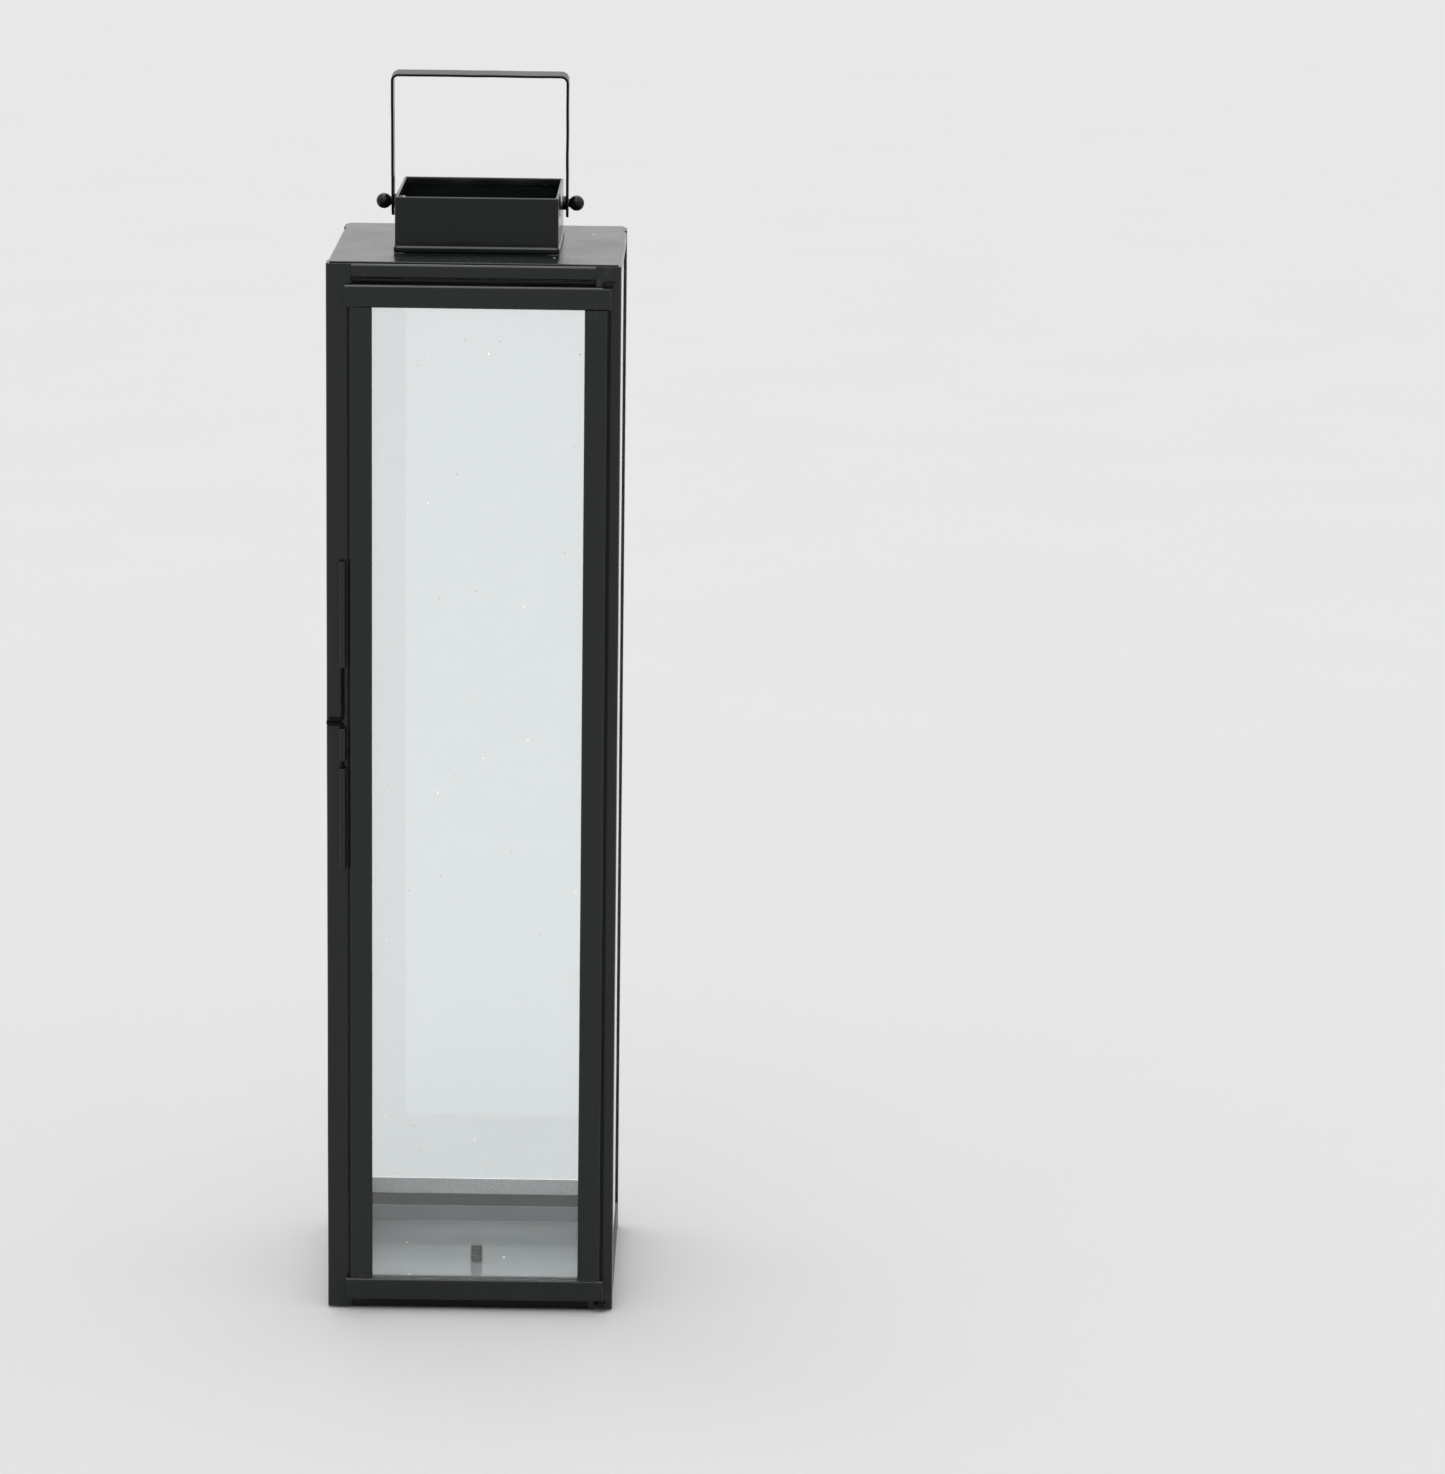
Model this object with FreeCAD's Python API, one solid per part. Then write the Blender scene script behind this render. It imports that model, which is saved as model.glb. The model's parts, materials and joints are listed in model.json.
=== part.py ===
"""Tall square candle lantern: folded steel frame, glazed on four sides, with a hinged door, a turning wire
latch, an open chimney on the roof and a flat strap handle.

Millimetres, +Z up, the door faces -Y. The lantern is drawn about the vertical axis of its square frame,
with z = 0 on the surface that it stands on, and save() then moves it so that the origin is under the middle
of the whole footprint, door included.
"""
import FreeCAD, Part
import math
import os

V = FreeCAD.Vector

# ---- driving dimensions -------------------------------------------------------------------------------

FRAME_WIDTH = 203.2          # square footprint over the corner posts (8 in)
FRAME_BOTTOM = 1.5           # height of the frame's lower edge above the table
FRAME_TOP = 751.4            # upper edge of posts and top rails
SHEET = 1.2                  # sheet thickness of frame, roof and door
BEND = 1.6                   # bend radius of the frame, on the sheet's mid-line
POST_LEG = 17.2              # width of each leg of a corner post

TOP_RAIL_HEIGHT = 10.4
TOP_RAIL_SHELF = 14.0        # flange that carries the roof
TOP_RAIL_LIP = 8.0           # lower flange
DOOR_STOP = 9.0              # how far the front rail's stop hangs below its lower flange
BOTTOM_RAIL_HEIGHT = 22.5
BOTTOM_RAIL_SHELF = 12.0     # flange that carries the floor pan
BOTTOM_RAIL_LIP = 5.0        # upper flange, which the glass stands on

PAN_HALF = 95.0
PAN_SHEET = 1.0
PAN_LIP = 13.0               # total height of the pan
PAN_CORNER = 2.5             # outer corner radius of the pan, in plan
PAN_FOLD = 1.8               # outer bend radius between its floor and lips
FOOT_RADIUS = 4.6
FOOT_PLACE = 83.5            # foot centres from the frame's axis, along X and Y
FOOT_ROUNDING = 0.7

STUD_HEIGHT = 12.4           # candle stud above the floor
STUD_CORE_RADIUS = 3.9
STUD_CREST_RADIUS = 4.6
STUD_PITCH = 2.4
STUD_HEAD_RADIUS = 7.0
STUD_HEAD_HEIGHT = 1.0
STUD_TIP_CHAMFER = 0.8
STUD_RUNOUT = 0.6            # plain length between the floor and the first ridge

ROOF_HALF = 99.4
ROOF_CORNER = 2.0
ROOF_ROLL = 0.5              # rounding of the roof's upper edge
GUSSET_CUT = 2.0             # clipped outer corner of the plates under the roof
VENT_HALF = 50.0
VENT_CORNER = 3.0
CHIMNEY_HALF = 56.7          # outer face of the chimney's walls
CHIMNEY_HEIGHT = 39.4
CHIMNEY_SHEET = 1.0
HEM_DEPTH = 5.0              # rim folded back inside
BEAD_PROUD = 0.9             # bead round the chimney's foot
BEAD_HEIGHTS = (0.8, 1.7, 3.7, 5.1)      # where the bead leaves, tops out, turns back and ends
WALL_SPLIT = 8.0             # height at which the foot's section meets the crown's
CHIMNEY_FOLD = 0.6           # bend radius of bead and hem, on the sheet's mid-line
CLIP_LENGTH = 22.0
CLIP_LEG = 5.0
CLIP_HEIGHT = 5.5
CLIP_FOLD = 0.8

PANE_HALF = 97.0
PANE_THICK = 2.0
RETAINER_LEG = 10.0
RETAINER_SHEET = 0.8
RETAINER_FOLD = 1.2
STRIP_HEIGHT = 12.0          # flat strips along the foot of each fixed pane
STRIP_PLAY = 0.2             # between the strips and the retainers at their ends
PANE_PLAY = 0.2              # left free above each fixed pane

DOOR_LEFT = -88.1
DOOR_RIGHT = 95.3
DOOR_BOTTOM = 8.5
DOOR_TOP = 737.5
DOOR_DEPTH = 5.0
DOOR_GAP = 0.6               # between the posts' front faces and the door's back
DOOR_BEND = 1.4
RAIL_WIDTH = 15.8            # visible width of the door's rails and stiles
STILE_INSET = 2.8            # the stiles' faces start this far in from the rails' ends
DOOR_REBATE = 2.5            # depth of the return that the door glass lies against
DOOR_GLASS_THICK = 1.8
DOOR_GLASS_OVERLAP = 11.2    # how far the glass runs behind each rail and stile
DOOR_BEAD_SHORT = 0.5        # how much narrower than that overlap the beads are
LATCH_SIDE_FLANGE = 1.7      # narrow flange of the left stile, clear of the latch sleeves

HINGE_PIN_RADIUS = 1.25
PIN_CHAMFER = 0.3
HINGE_LUG_THICK = 2.0
HINGE_LUG_HALF = 4.3
HINGE_LUG_CORNER = 2.5
HINGE_BLOCK_LENGTH = 6.3
HINGE_BLOCK_EASE = 0.9       # keeps the block clear of the rail's inner bends
HINGE_PIN_DEPTH = 11.8       # how far each pin reaches into the door
HINGE_PIN_PROUD = 0.4        # how far it stands out past its lug
UPPER_LUG_GAP = 1.0          # between the door's top and the upper lug
LOWER_LUG_GAP = 1.5          # between the lower lug and the door, for the washer
RUNNING_FIT = 0.07           # radial clearance of every turning pair
ASSEMBLY_FIT = 0.05          # radial clearance of a hole that only locates its shaft
TIGHT_FIT = 0.02             # radial clearance of a hole that holds its shaft
BOLT_HOLE_EASE = 0.1         # radial clearance of the bolts in the chimney

LATCH_X = -90.2              # axis of the latch wire
WIRE_RADIUS = 1.15
SLEEVE_RADIUS = 2.7
UPPER_SLEEVE = (468.8, 544.0)
LOWER_SLEEVE = (324.1, 396.6)
COLLAR = (402.3, 425.2)
LOOP_HEIGHT = 429.6          # middle of the finger loop
LOOP_SPREAD = 2.8            # between the mid-lines of the loop's two legs
WIRE_BEND = 2.4
WIRE_END = 3.0               # the wire stops this far inside its sleeves

PIVOT_HEIGHT = 29.2          # handle pivot above the roof
BOLT_RADIUS = 2.0
BOLT_HEAD_FLATS = 7.0
BOLT_HEAD_HEIGHT = 3.0
BOLT_GRIP = 1.5              # how far the bolt runs past the middle of its knob
WASHER_RADIUS = 4.9
WASHER_THICK = 1.0
SPACER_THICK = 2.4
RING_ROUNDING = 0.3
FACE_PLAY = 0.1
STRAP_WIDTH = 16.0
STRAP_THICK = 1.8
STRAP_CORNER = 4.6           # bend radius on the strap's mid-line
STRAP_REACH = 92.0           # pivot to the strap's upper face
STRAP_TAIL = 10.1            # pivot to the strap's lower ends
HANDLE_LEAN = 5.8            # degrees towards the door, at rest
KNOB_RADIUS = 5.4
KNOB_NECK_RADIUS = 2.9

PAST = 1.0                   # how far a cutting tool runs past the solid it cuts
TINY = 1e-6

# ---- dimensions that follow ---------------------------------------------------------------------------

HALF = FRAME_WIDTH / 2
POST_INNER = HALF - POST_LEG             # where posts end and rails begin
INSIDE = HALF - SHEET                    # inner faces of posts and rails
ROOF_UNDER = FRAME_TOP
ROOF_TOP = ROOF_UNDER + SHEET
PAN_UNDER = FRAME_BOTTOM + SHEET
FLOOR = PAN_UNDER + PAN_SHEET
SILL_TOP = FRAME_BOTTOM + BOTTOM_RAIL_HEIGHT
LINTEL_UNDER = FRAME_TOP - TOP_RAIL_HEIGHT
PANE_FACE = INSIDE - PANE_THICK          # inner face of the side and back panes

DOOR_BACK = -HALF - DOOR_GAP
DOOR_FRONT = DOOR_BACK - DOOR_DEPTH
DOOR_FACE_LINE = DOOR_FRONT + SHEET / 2
DOOR_BACK_LINE = DOOR_BACK - SHEET / 2
GLASS_FRONT = DOOR_FRONT + DOOR_REBATE
STILE_BOTTOM = DOOR_BOTTOM + RAIL_WIDTH
STILE_TOP = DOOR_TOP - RAIL_WIDTH
HINGE_X = DOOR_RIGHT - DOOR_DEPTH / 2
HINGE_Y = DOOR_BACK - DOOR_DEPTH / 2
LATCH_Y = -HALF - SLEEVE_RADIUS

PIVOT_Z = ROOF_TOP + PIVOT_HEIGHT
WALL_INNER = CHIMNEY_HALF - CHIMNEY_SHEET
STRAP_INNER = CHIMNEY_HALF + WASHER_THICK + SPACER_THICK + FACE_PLAY
STRAP_OUTER = STRAP_INNER + STRAP_THICK
KNOB_X = STRAP_OUTER + FACE_PLAY + KNOB_RADIUS

ORIGIN_SHIFT = V(0, -(DOOR_FRONT + HALF) / 2, 0)


# ---- helpers ------------------------------------------------------------------------------------------

def save(name, *solids):
    """Write one node, moved to the row's origin."""
    shape = solids[0] if len(solids) == 1 else Part.makeCompound(list(solids))
    shape = shape.copy()
    shape.translate(ORIGIN_SHIFT)
    shape.exportStep("parts/" + name + ".step")


def box(x, y, z):
    """A box from three (low, high) pairs."""
    size = [high - low for low, high in (x, y, z)]
    return Part.makeBox(*size, V(x[0], y[0], z[0]))


def cylinder_z(radius, z, at=(0.0, 0.0)):
    return Part.makeCylinder(radius, z[1] - z[0], V(at[0], at[1], z[0]), V(0, 0, 1))


def cylinder_x(radius, x, z):
    return Part.makeCylinder(radius, x[1] - x[0], V(x[0], 0, z), V(1, 0, 0))


def turned(shape, degrees):
    """A copy turned about the frame's axis."""
    copy = shape.copy()
    copy.rotate(V(0, 0, 0), V(0, 0, 1), degrees)
    return copy


def mirrored_x(shape):
    return shape.mirror(V(0, 0, 0), V(1, 0, 0))


def path_pieces(points, radius):
    """Straight runs and the arcs between them, for a polyline whose corners are rounded."""
    pieces = []
    start = points[0]
    for before, corner, after in zip(points, points[1:], points[2:]):
        u = (before - corner).normalize()
        w = (after - corner).normalize()
        half_turn = (math.pi - u.getAngle(w)) / 2
        setback = radius * math.tan(half_turn)
        enter = corner + u * setback
        leave = corner + w * setback
        middle = corner + (u + w).normalize() * (radius / math.cos(half_turn) - radius)
        centre = corner + (u + w).normalize() * (radius / math.cos(half_turn))
        if (enter - start).Length > TINY:
            pieces.append((start, None, enter, None))
        pieces.append((enter, middle, leave, centre))
        start = leave
    if (points[-1] - start).Length > TINY:
        pieces.append((start, None, points[-1], None))
    return pieces


def piece_edge(start, middle, end):
    if middle is None:
        return Part.LineSegment(start, end).toShape()
    return Part.Arc(start, middle, end).toShape()


def offset_piece(piece, distance):
    """The same run or arc, moved sideways: positive is to the left of its direction."""
    start, middle, end, centre = piece
    if middle is None:
        left = V(0, 0, 1).cross(end - start).normalize() * distance
        return start + left, None, end + left
    turns_left = V(0, 0, 1).cross(middle - start).dot(centre - start) > 0
    grow = -distance if turns_left else distance
    return tuple(point + (point - centre).normalize() * grow for point in (start, middle, end))


def folded_face(points, thickness, radius):
    """The section of a folded sheet, from its mid-line's corners in the XY plane."""
    pieces = path_pieces([V(x, y, 0) for x, y in points], radius)
    left = [offset_piece(piece, thickness / 2) for piece in pieces]
    right = [offset_piece(piece, -thickness / 2) for piece in pieces]
    edges = [piece_edge(*item) for item in left]
    edges.append(Part.LineSegment(left[-1][2], right[-1][2]).toShape())
    edges += [piece_edge(end, middle, start) for start, middle, end in reversed(right)]
    edges.append(Part.LineSegment(right[0][0], left[0][0]).toShape())
    return Part.Face(Part.Wire(edges))


def folded_along_z(points, thickness, radius, z):
    """A folded sheet standing up, from mid-line points (x, y)."""
    face = folded_face(points, thickness, radius)
    face.translate(V(0, 0, z[0]))
    return face.extrude(V(0, 0, z[1] - z[0]))


def folded_along_x(points, thickness, radius, x):
    """A folded sheet lying along X, from mid-line points (y, z)."""
    solid = folded_along_z(points, thickness, radius, x)
    solid.rotate(V(0, 0, 0), V(1, 1, 1), 120)
    return solid


def rounded_plate(half, corner, z):
    """A square plate with rounded corners."""
    plate = box((-half, half), (-half, half), z)
    upright = [e for e in plate.Edges if abs(e.Vertexes[0].Z - e.Vertexes[1].Z) > TINY]
    return plate.makeFillet(corner, upright)


SIDES = {"front": 0, "right": 90, "back": 180, "left": 270}
CORNERS = {"front_left": 0, "front_right": 90, "back_right": 180, "back_left": 270}


# ---- frame --------------------------------------------------------------------------------------------

def corner_post():
    """Front left post: a folded angle."""
    line = -HALF + SHEET / 2
    points = [(-POST_INNER, line), (line, line), (line, -POST_INNER)]
    return folded_along_z(points, SHEET, BEND, (FRAME_BOTTOM, FRAME_TOP))


def top_rail(stop=0):
    """Front top rail: a channel open to the inside, whose upper flange carries the roof. Its lower flange can
    turn down at its inner edge, as a stop that closes the gap above the door."""
    face = -HALF + SHEET / 2
    high = FRAME_TOP - SHEET / 2
    low = LINTEL_UNDER + SHEET / 2
    points = [(-HALF + TOP_RAIL_SHELF, high), (face, high), (face, low), (-HALF + TOP_RAIL_LIP, low)]
    if stop:
        inner = -HALF + TOP_RAIL_LIP - SHEET / 2
        points[3:] = [(inner, low), (inner, LINTEL_UNDER - stop)]
    return folded_along_x(points, SHEET, BEND, (-POST_INNER, POST_INNER))


def bottom_rail():
    """Front bottom rail: its lower flange carries the floor pan, and the glass stands on its upper one."""
    face = -HALF + SHEET / 2
    high = SILL_TOP - SHEET / 2
    low = FRAME_BOTTOM + SHEET / 2
    points = [(-HALF + BOTTOM_RAIL_LIP, high), (face, high), (face, low), (-HALF + BOTTOM_RAIL_SHELF, low)]
    return folded_along_x(points, SHEET, BEND, (-POST_INNER, POST_INNER))


def top_gusset():
    """Small plate that closes the top of the front left post and carries the roof's corner."""
    low, high = -INSIDE, -POST_INNER
    clipped = low + GUSSET_CUT
    corners = [(high, low), (high, high), (low, high), (low, clipped), (clipped, low), (high, low)]
    face = Part.Face(Part.makePolygon([V(x, y, FRAME_TOP - SHEET) for x, y in corners]))
    return face.extrude(V(0, 0, SHEET))


def floor_pan():
    """Tray with upturned lips and a hole for the stud."""
    tray = rounded_plate(PAN_HALF, PAN_CORNER, (PAN_UNDER, PAN_UNDER + PAN_LIP))
    bottom_edges = [e for e in tray.Edges if max(v.Z for v in e.Vertexes) < PAN_UNDER + TINY]
    tray = tray.makeFillet(PAN_FOLD, bottom_edges)
    hollow = rounded_plate(PAN_HALF - PAN_SHEET, PAN_CORNER - PAN_SHEET, (FLOOR, PAN_UNDER + PAN_LIP + PAST))
    hollow_edges = [e for e in hollow.Edges if max(v.Z for v in e.Vertexes) < FLOOR + TINY]
    hollow = hollow.makeFillet(PAN_FOLD - PAN_SHEET, hollow_edges)
    hole = cylinder_z(STUD_CORE_RADIUS + ASSEMBLY_FIT, (PAN_UNDER - PAST, FLOOR + PAST))
    return tray.cut(hollow).cut(hole)


def candle_stud():
    """Coarse-threaded stud, drawn as stacked ridges, with a flat rivet head under the pan."""
    head = PAN_UNDER - STUD_HEAD_HEIGHT
    profile = [(0, head), (STUD_HEAD_RADIUS, head),
               (STUD_HEAD_RADIUS, PAN_UNDER), (STUD_CORE_RADIUS, PAN_UNDER)]
    ridges = int((STUD_HEIGHT - 2 * STUD_RUNOUT) / STUD_PITCH)
    flank = 0.3 * STUD_PITCH
    for turn in range(ridges):
        base = FLOOR + STUD_RUNOUT + turn * STUD_PITCH
        profile += [(STUD_CORE_RADIUS, base), (STUD_CREST_RADIUS, base + flank),
                    (STUD_CREST_RADIUS, base + 2 * flank), (STUD_CORE_RADIUS, base + 3 * flank)]
    top = FLOOR + STUD_HEIGHT
    tip = STUD_CORE_RADIUS - STUD_TIP_CHAMFER
    profile += [(STUD_CORE_RADIUS, top - STUD_TIP_CHAMFER), (tip, top), (0, top)]
    outline = [V(r, 0, z) for r, z in profile]
    face = Part.Face(Part.makePolygon(outline + [outline[0]]))
    return face.revolve(V(0, 0, 0), V(0, 0, 1), 360)


def rubber_foot():
    """Button foot at the front left, stuck under the floor pan."""
    foot = cylinder_z(FOOT_RADIUS, (0, PAN_UNDER), (-FOOT_PLACE, -FOOT_PLACE))
    lower = [e for e in foot.Edges if max(v.Z for v in e.Vertexes) < TINY]
    return foot.makeFillet(FOOT_ROUNDING, lower)


# ---- roof and chimney ---------------------------------------------------------------------------------

def roof_plate():
    """Flat roof sheet with rolled edges and a square vent hole."""
    plate = rounded_plate(ROOF_HALF, ROOF_CORNER, (ROOF_UNDER, ROOF_TOP))
    rim = [e for e in plate.Edges if min(v.Z for v in e.Vertexes) > ROOF_TOP - TINY]
    plate = plate.makeFillet(ROOF_ROLL, rim)
    vent = rounded_plate(VENT_HALF, VENT_CORNER, (ROOF_UNDER - PAST, ROOF_TOP + PAST))
    return plate.cut(vent)


def chimney_wall():
    """Front wall, mitred at the corners: a bead at the foot and a hem folded inside at the rim."""
    line = -CHIMNEY_HALF + CHIMNEY_SHEET / 2
    rim = ROOF_TOP + CHIMNEY_HEIGHT - CHIMNEY_SHEET / 2
    hem_line = line + 2 * CHIMNEY_FOLD
    hem_end = ROOF_TOP + CHIMNEY_HEIGHT - HEM_DEPTH
    split = ROOF_TOP + WALL_SPLIT
    bead_lines = (line, line - BEAD_PROUD, line - BEAD_PROUD, line)
    bead = [(across, ROOF_TOP + up) for across, up in zip(bead_lines, BEAD_HEIGHTS)]
    foot = [(line, ROOF_TOP)] + bead + [(line, split)]
    lower = folded_along_x(foot, CHIMNEY_SHEET, CHIMNEY_FOLD, (-HALF, HALF))
    crown = [(line, split), (line, rim), (hem_line, rim), (hem_line, hem_end)]
    upper = folded_along_x(crown, CHIMNEY_SHEET, CHIMNEY_FOLD, (-HALF, HALF))
    corners = [V(0, 0, ROOF_TOP), V(-HALF, -HALF, ROOF_TOP), V(HALF, -HALF, ROOF_TOP), V(0, 0, ROOF_TOP)]
    mitre = Part.Face(Part.makePolygon(corners)).extrude(V(0, 0, CHIMNEY_HEIGHT + PAST))
    return lower.fuse(upper).common(mitre).removeSplitter()


def bored_chimney_wall(side):
    """A wall turned to its side, with the pivot bolt's hole where it has one."""
    wall = turned(chimney_wall(), SIDES[side])
    if side in ("left", "right"):
        wall = wall.cut(cylinder_x(BOLT_RADIUS + BOLT_HOLE_EASE, (-HALF, HALF), PIVOT_Z))
    return wall.Solids[0]


def chimney_clip():
    """Angle inside the front wall that holds the chimney on the roof."""
    back = -WALL_INNER + CHIMNEY_SHEET / 2
    seat = ROOF_TOP + CHIMNEY_SHEET / 2
    points = [(back, ROOF_TOP + CLIP_HEIGHT), (back, seat), (-WALL_INNER + CLIP_LEG, seat)]
    return folded_along_x(points, CHIMNEY_SHEET, CLIP_FOLD, (-CLIP_LENGTH / 2, CLIP_LENGTH / 2))


# ---- fixed glass --------------------------------------------------------------------------------------

def side_pane():
    """Back pane: it stands on the bottom rail's lip, behind the posts' legs."""
    return box((-PANE_HALF, PANE_HALF), (PANE_FACE, INSIDE), (SILL_TOP, LINTEL_UNDER - PANE_PLAY))


def glass_retainer():
    """Inner corner angle at the front left that presses two panes outwards."""
    line = -PANE_FACE + RETAINER_SHEET / 2
    end = -PANE_FACE + RETAINER_LEG
    points = [(end, line), (line, line), (line, end)]
    return folded_along_z(points, RETAINER_SHEET, RETAINER_FOLD, (SILL_TOP, LINTEL_UNDER - PANE_PLAY))


def glazing_strip():
    """Flat strip along the foot of a pane, drawn at the front, between the retainers in the corners."""
    end = PANE_FACE - RETAINER_LEG - STRIP_PLAY
    return Part.makeBox(2 * end, RETAINER_SHEET, STRIP_HEIGHT, V(-end, -PANE_FACE, SILL_TOP))


# ---- handle -------------------------------------------------------------------------------------------

def leaned(shape):
    """Tip a piece of the handle to its resting lean about the pivot."""
    copy = shape.copy()
    copy.rotate(V(0, 0, PIVOT_Z), V(1, 0, 0), HANDLE_LEAN)
    return copy


def handle_strap():
    """Flat strap bent to a bail, with half-round ends and a pivot hole in each."""
    line = (STRAP_INNER + STRAP_OUTER) / 2
    top = STRAP_REACH - STRAP_THICK / 2
    points = [(-line, -STRAP_TAIL), (-line, top), (line, top), (line, -STRAP_TAIL)]
    face = folded_face(points, STRAP_THICK, STRAP_CORNER)
    strap = face.extrude(V(0, 0, STRAP_WIDTH))
    strap.translate(V(0, 0, -STRAP_WIDTH / 2))
    strap.rotate(V(0, 0, 0), V(1, 0, 0), 90)
    strap.translate(V(0, 0, PIVOT_Z))
    round_height = PIVOT_Z - STRAP_TAIL + STRAP_WIDTH / 2
    blank = box((-HALF, HALF), (-STRAP_WIDTH / 2, STRAP_WIDTH / 2), (round_height, PIVOT_Z + STRAP_REACH))
    outline = blank.fuse(cylinder_x(STRAP_WIDTH / 2, (-HALF, HALF), round_height))
    strap = strap.common(outline)
    strap = strap.cut(cylinder_x(BOLT_RADIUS + RUNNING_FIT, (-HALF, HALF), PIVOT_Z))
    return leaned(strap.removeSplitter().Solids[0])


def pivot_bolt():
    """Right bolt: hexagon head inside the chimney, plain shank out to the knob."""
    head = Part.Face(Part.makePolygon([
        V(WALL_INNER - BOLT_HEAD_HEIGHT,
          BOLT_HEAD_FLATS / math.sqrt(3) * math.cos(math.radians(60 * k)),
          PIVOT_Z + BOLT_HEAD_FLATS / math.sqrt(3) * math.sin(math.radians(60 * k)))
        for k in range(7)]))
    head = head.extrude(V(BOLT_HEAD_HEIGHT, 0, 0))
    shank = cylinder_x(BOLT_RADIUS, (WALL_INNER - BOLT_HEAD_HEIGHT / 2, KNOB_X + BOLT_GRIP), PIVOT_Z)
    return head.fuse(shank).removeSplitter()


def ring_x(radius, x):
    """A ring round the right bolt, with softened outer edges."""
    ring = cylinder_x(radius, x, PIVOT_Z)
    ring = ring.makeFillet(RING_ROUNDING, [e for e in ring.Edges if len(e.Vertexes) == 1])
    return ring.cut(cylinder_x(BOLT_RADIUS + ASSEMBLY_FIT, (x[0] - PAST, x[1] + PAST), PIVOT_Z))


def pivot_washer():
    return ring_x(WASHER_RADIUS, (CHIMNEY_HALF, CHIMNEY_HALF + WASHER_THICK))


def strap_spacer():
    low = CHIMNEY_HALF + WASHER_THICK
    return ring_x(WASHER_RADIUS, (low, low + SPACER_THICK))


def ball_knob():
    """Right knob: a ball with a short neck and a blind bore for the bolt."""
    ball = Part.makeSphere(KNOB_RADIUS, V(KNOB_X, 0, PIVOT_Z))
    neck = cylinder_x(KNOB_NECK_RADIUS, (STRAP_OUTER + FACE_PLAY, KNOB_X), PIVOT_Z)
    bore = cylinder_x(BOLT_RADIUS + ASSEMBLY_FIT, (STRAP_OUTER, KNOB_X + BOLT_GRIP + FACE_PLAY), PIVOT_Z)
    return ball.fuse(neck).cut(bore).removeSplitter().Solids[0]


# ---- door ---------------------------------------------------------------------------------------------

def hinge_room():
    """The space that the door may fill: square everywhere but round about the hinge axis."""
    tall = (DOOR_BOTTOM - PAST, DOOR_TOP + PAST)
    leaf = box((DOOR_LEFT - PAST, HINGE_X), (DOOR_FRONT - PAST, DOOR_BACK + PAST), tall)
    return leaf.fuse(cylinder_z(DOOR_DEPTH / 2, tall, (HINGE_X, HINGE_Y)))


def door_rail(outer, inner):
    """A channel open to the back, from its outer height to its inner height, with a closed left end."""
    sign = 1 if outer > inner else -1
    high = outer - sign * SHEET / 2
    low = inner + sign * SHEET / 2
    points = [(DOOR_BACK, high), (DOOR_FACE_LINE, high), (DOOR_FACE_LINE, low), (GLASS_FRONT, low)]
    rail = folded_along_x(points, SHEET, DOOR_BEND, (DOOR_LEFT, DOOR_RIGHT))
    z = tuple(sorted((outer - sign * SHEET, inner + sign * SHEET)))
    cap = box((DOOR_LEFT, DOOR_LEFT + SHEET), (DOOR_FRONT + SHEET, DOOR_BACK), z)
    through = (z[0] - 2 * SHEET, z[1] + 2 * SHEET)
    pin_hole = cylinder_z(HINGE_PIN_RADIUS + ASSEMBLY_FIT, through, (HINGE_X, HINGE_Y))
    return rail.fuse(cap).common(hinge_room()).cut(pin_hole).removeSplitter().Solids[0]


def door_stile(side):
    """A folded stile: return against the glass, face, outer return and a narrow back flange."""
    z = (STILE_BOTTOM, STILE_TOP)
    if side == "left":
        edge, sign, flange = DOOR_LEFT + STILE_INSET, 1, LATCH_SIDE_FLANGE
    else:
        edge, sign, flange = DOOR_RIGHT - STILE_INSET, -1, STILE_INSET
    outer = edge + sign * SHEET / 2
    inner = edge + sign * (RAIL_WIDTH - SHEET / 2)
    points = [(edge - sign * flange, DOOR_BACK_LINE), (outer, DOOR_BACK_LINE), (outer, DOOR_FACE_LINE),
              (inner, DOOR_FACE_LINE), (inner, GLASS_FRONT)]
    stile = folded_along_z(points, SHEET, DOOR_BEND, z)
    return stile.common(hinge_room()).Solids[0]


def door_glass_edges():
    """Left, right, bottom and top of the door's pane."""
    window_left = DOOR_LEFT + STILE_INSET + RAIL_WIDTH
    window_right = DOOR_RIGHT - STILE_INSET - RAIL_WIDTH
    return (window_left - DOOR_GLASS_OVERLAP, window_right + DOOR_GLASS_OVERLAP,
            STILE_BOTTOM - DOOR_GLASS_OVERLAP, STILE_TOP + DOOR_GLASS_OVERLAP)


def door_glass():
    left, right, bottom, top = door_glass_edges()
    return box((left, right), (GLASS_FRONT, GLASS_FRONT + DOOR_GLASS_THICK), (bottom, top))


def door_beads():
    """Four flat strips behind the door's pane."""
    left, right, bottom, top = door_glass_edges()
    width = DOOR_GLASS_OVERLAP - DOOR_BEAD_SHORT
    y = (GLASS_FRONT + DOOR_GLASS_THICK, DOOR_BACK)
    return [box((left, left + width), y, (bottom + width, top - width)),
            box((right - width, right), y, (bottom + width, top - width)),
            box((left, right), y, (bottom, bottom + width)),
            box((left, right), y, (top - width, top))]


def hinge_block(outer, inner):
    """Block inside the right end of a door rail, bored for the pin."""
    low, high = sorted((outer, inner))
    z = (low + SHEET + HINGE_BLOCK_EASE, high - SHEET - HINGE_BLOCK_EASE)
    block = box((DOOR_RIGHT - HINGE_BLOCK_LENGTH, DOOR_RIGHT), (DOOR_FRONT + SHEET, DOOR_BACK), z)
    bore = cylinder_z(HINGE_PIN_RADIUS + TIGHT_FIT, (z[0] - PAST, z[1] + PAST), (HINGE_X, HINGE_Y))
    return block.common(hinge_room()).cut(bore).Solids[0]


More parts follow.
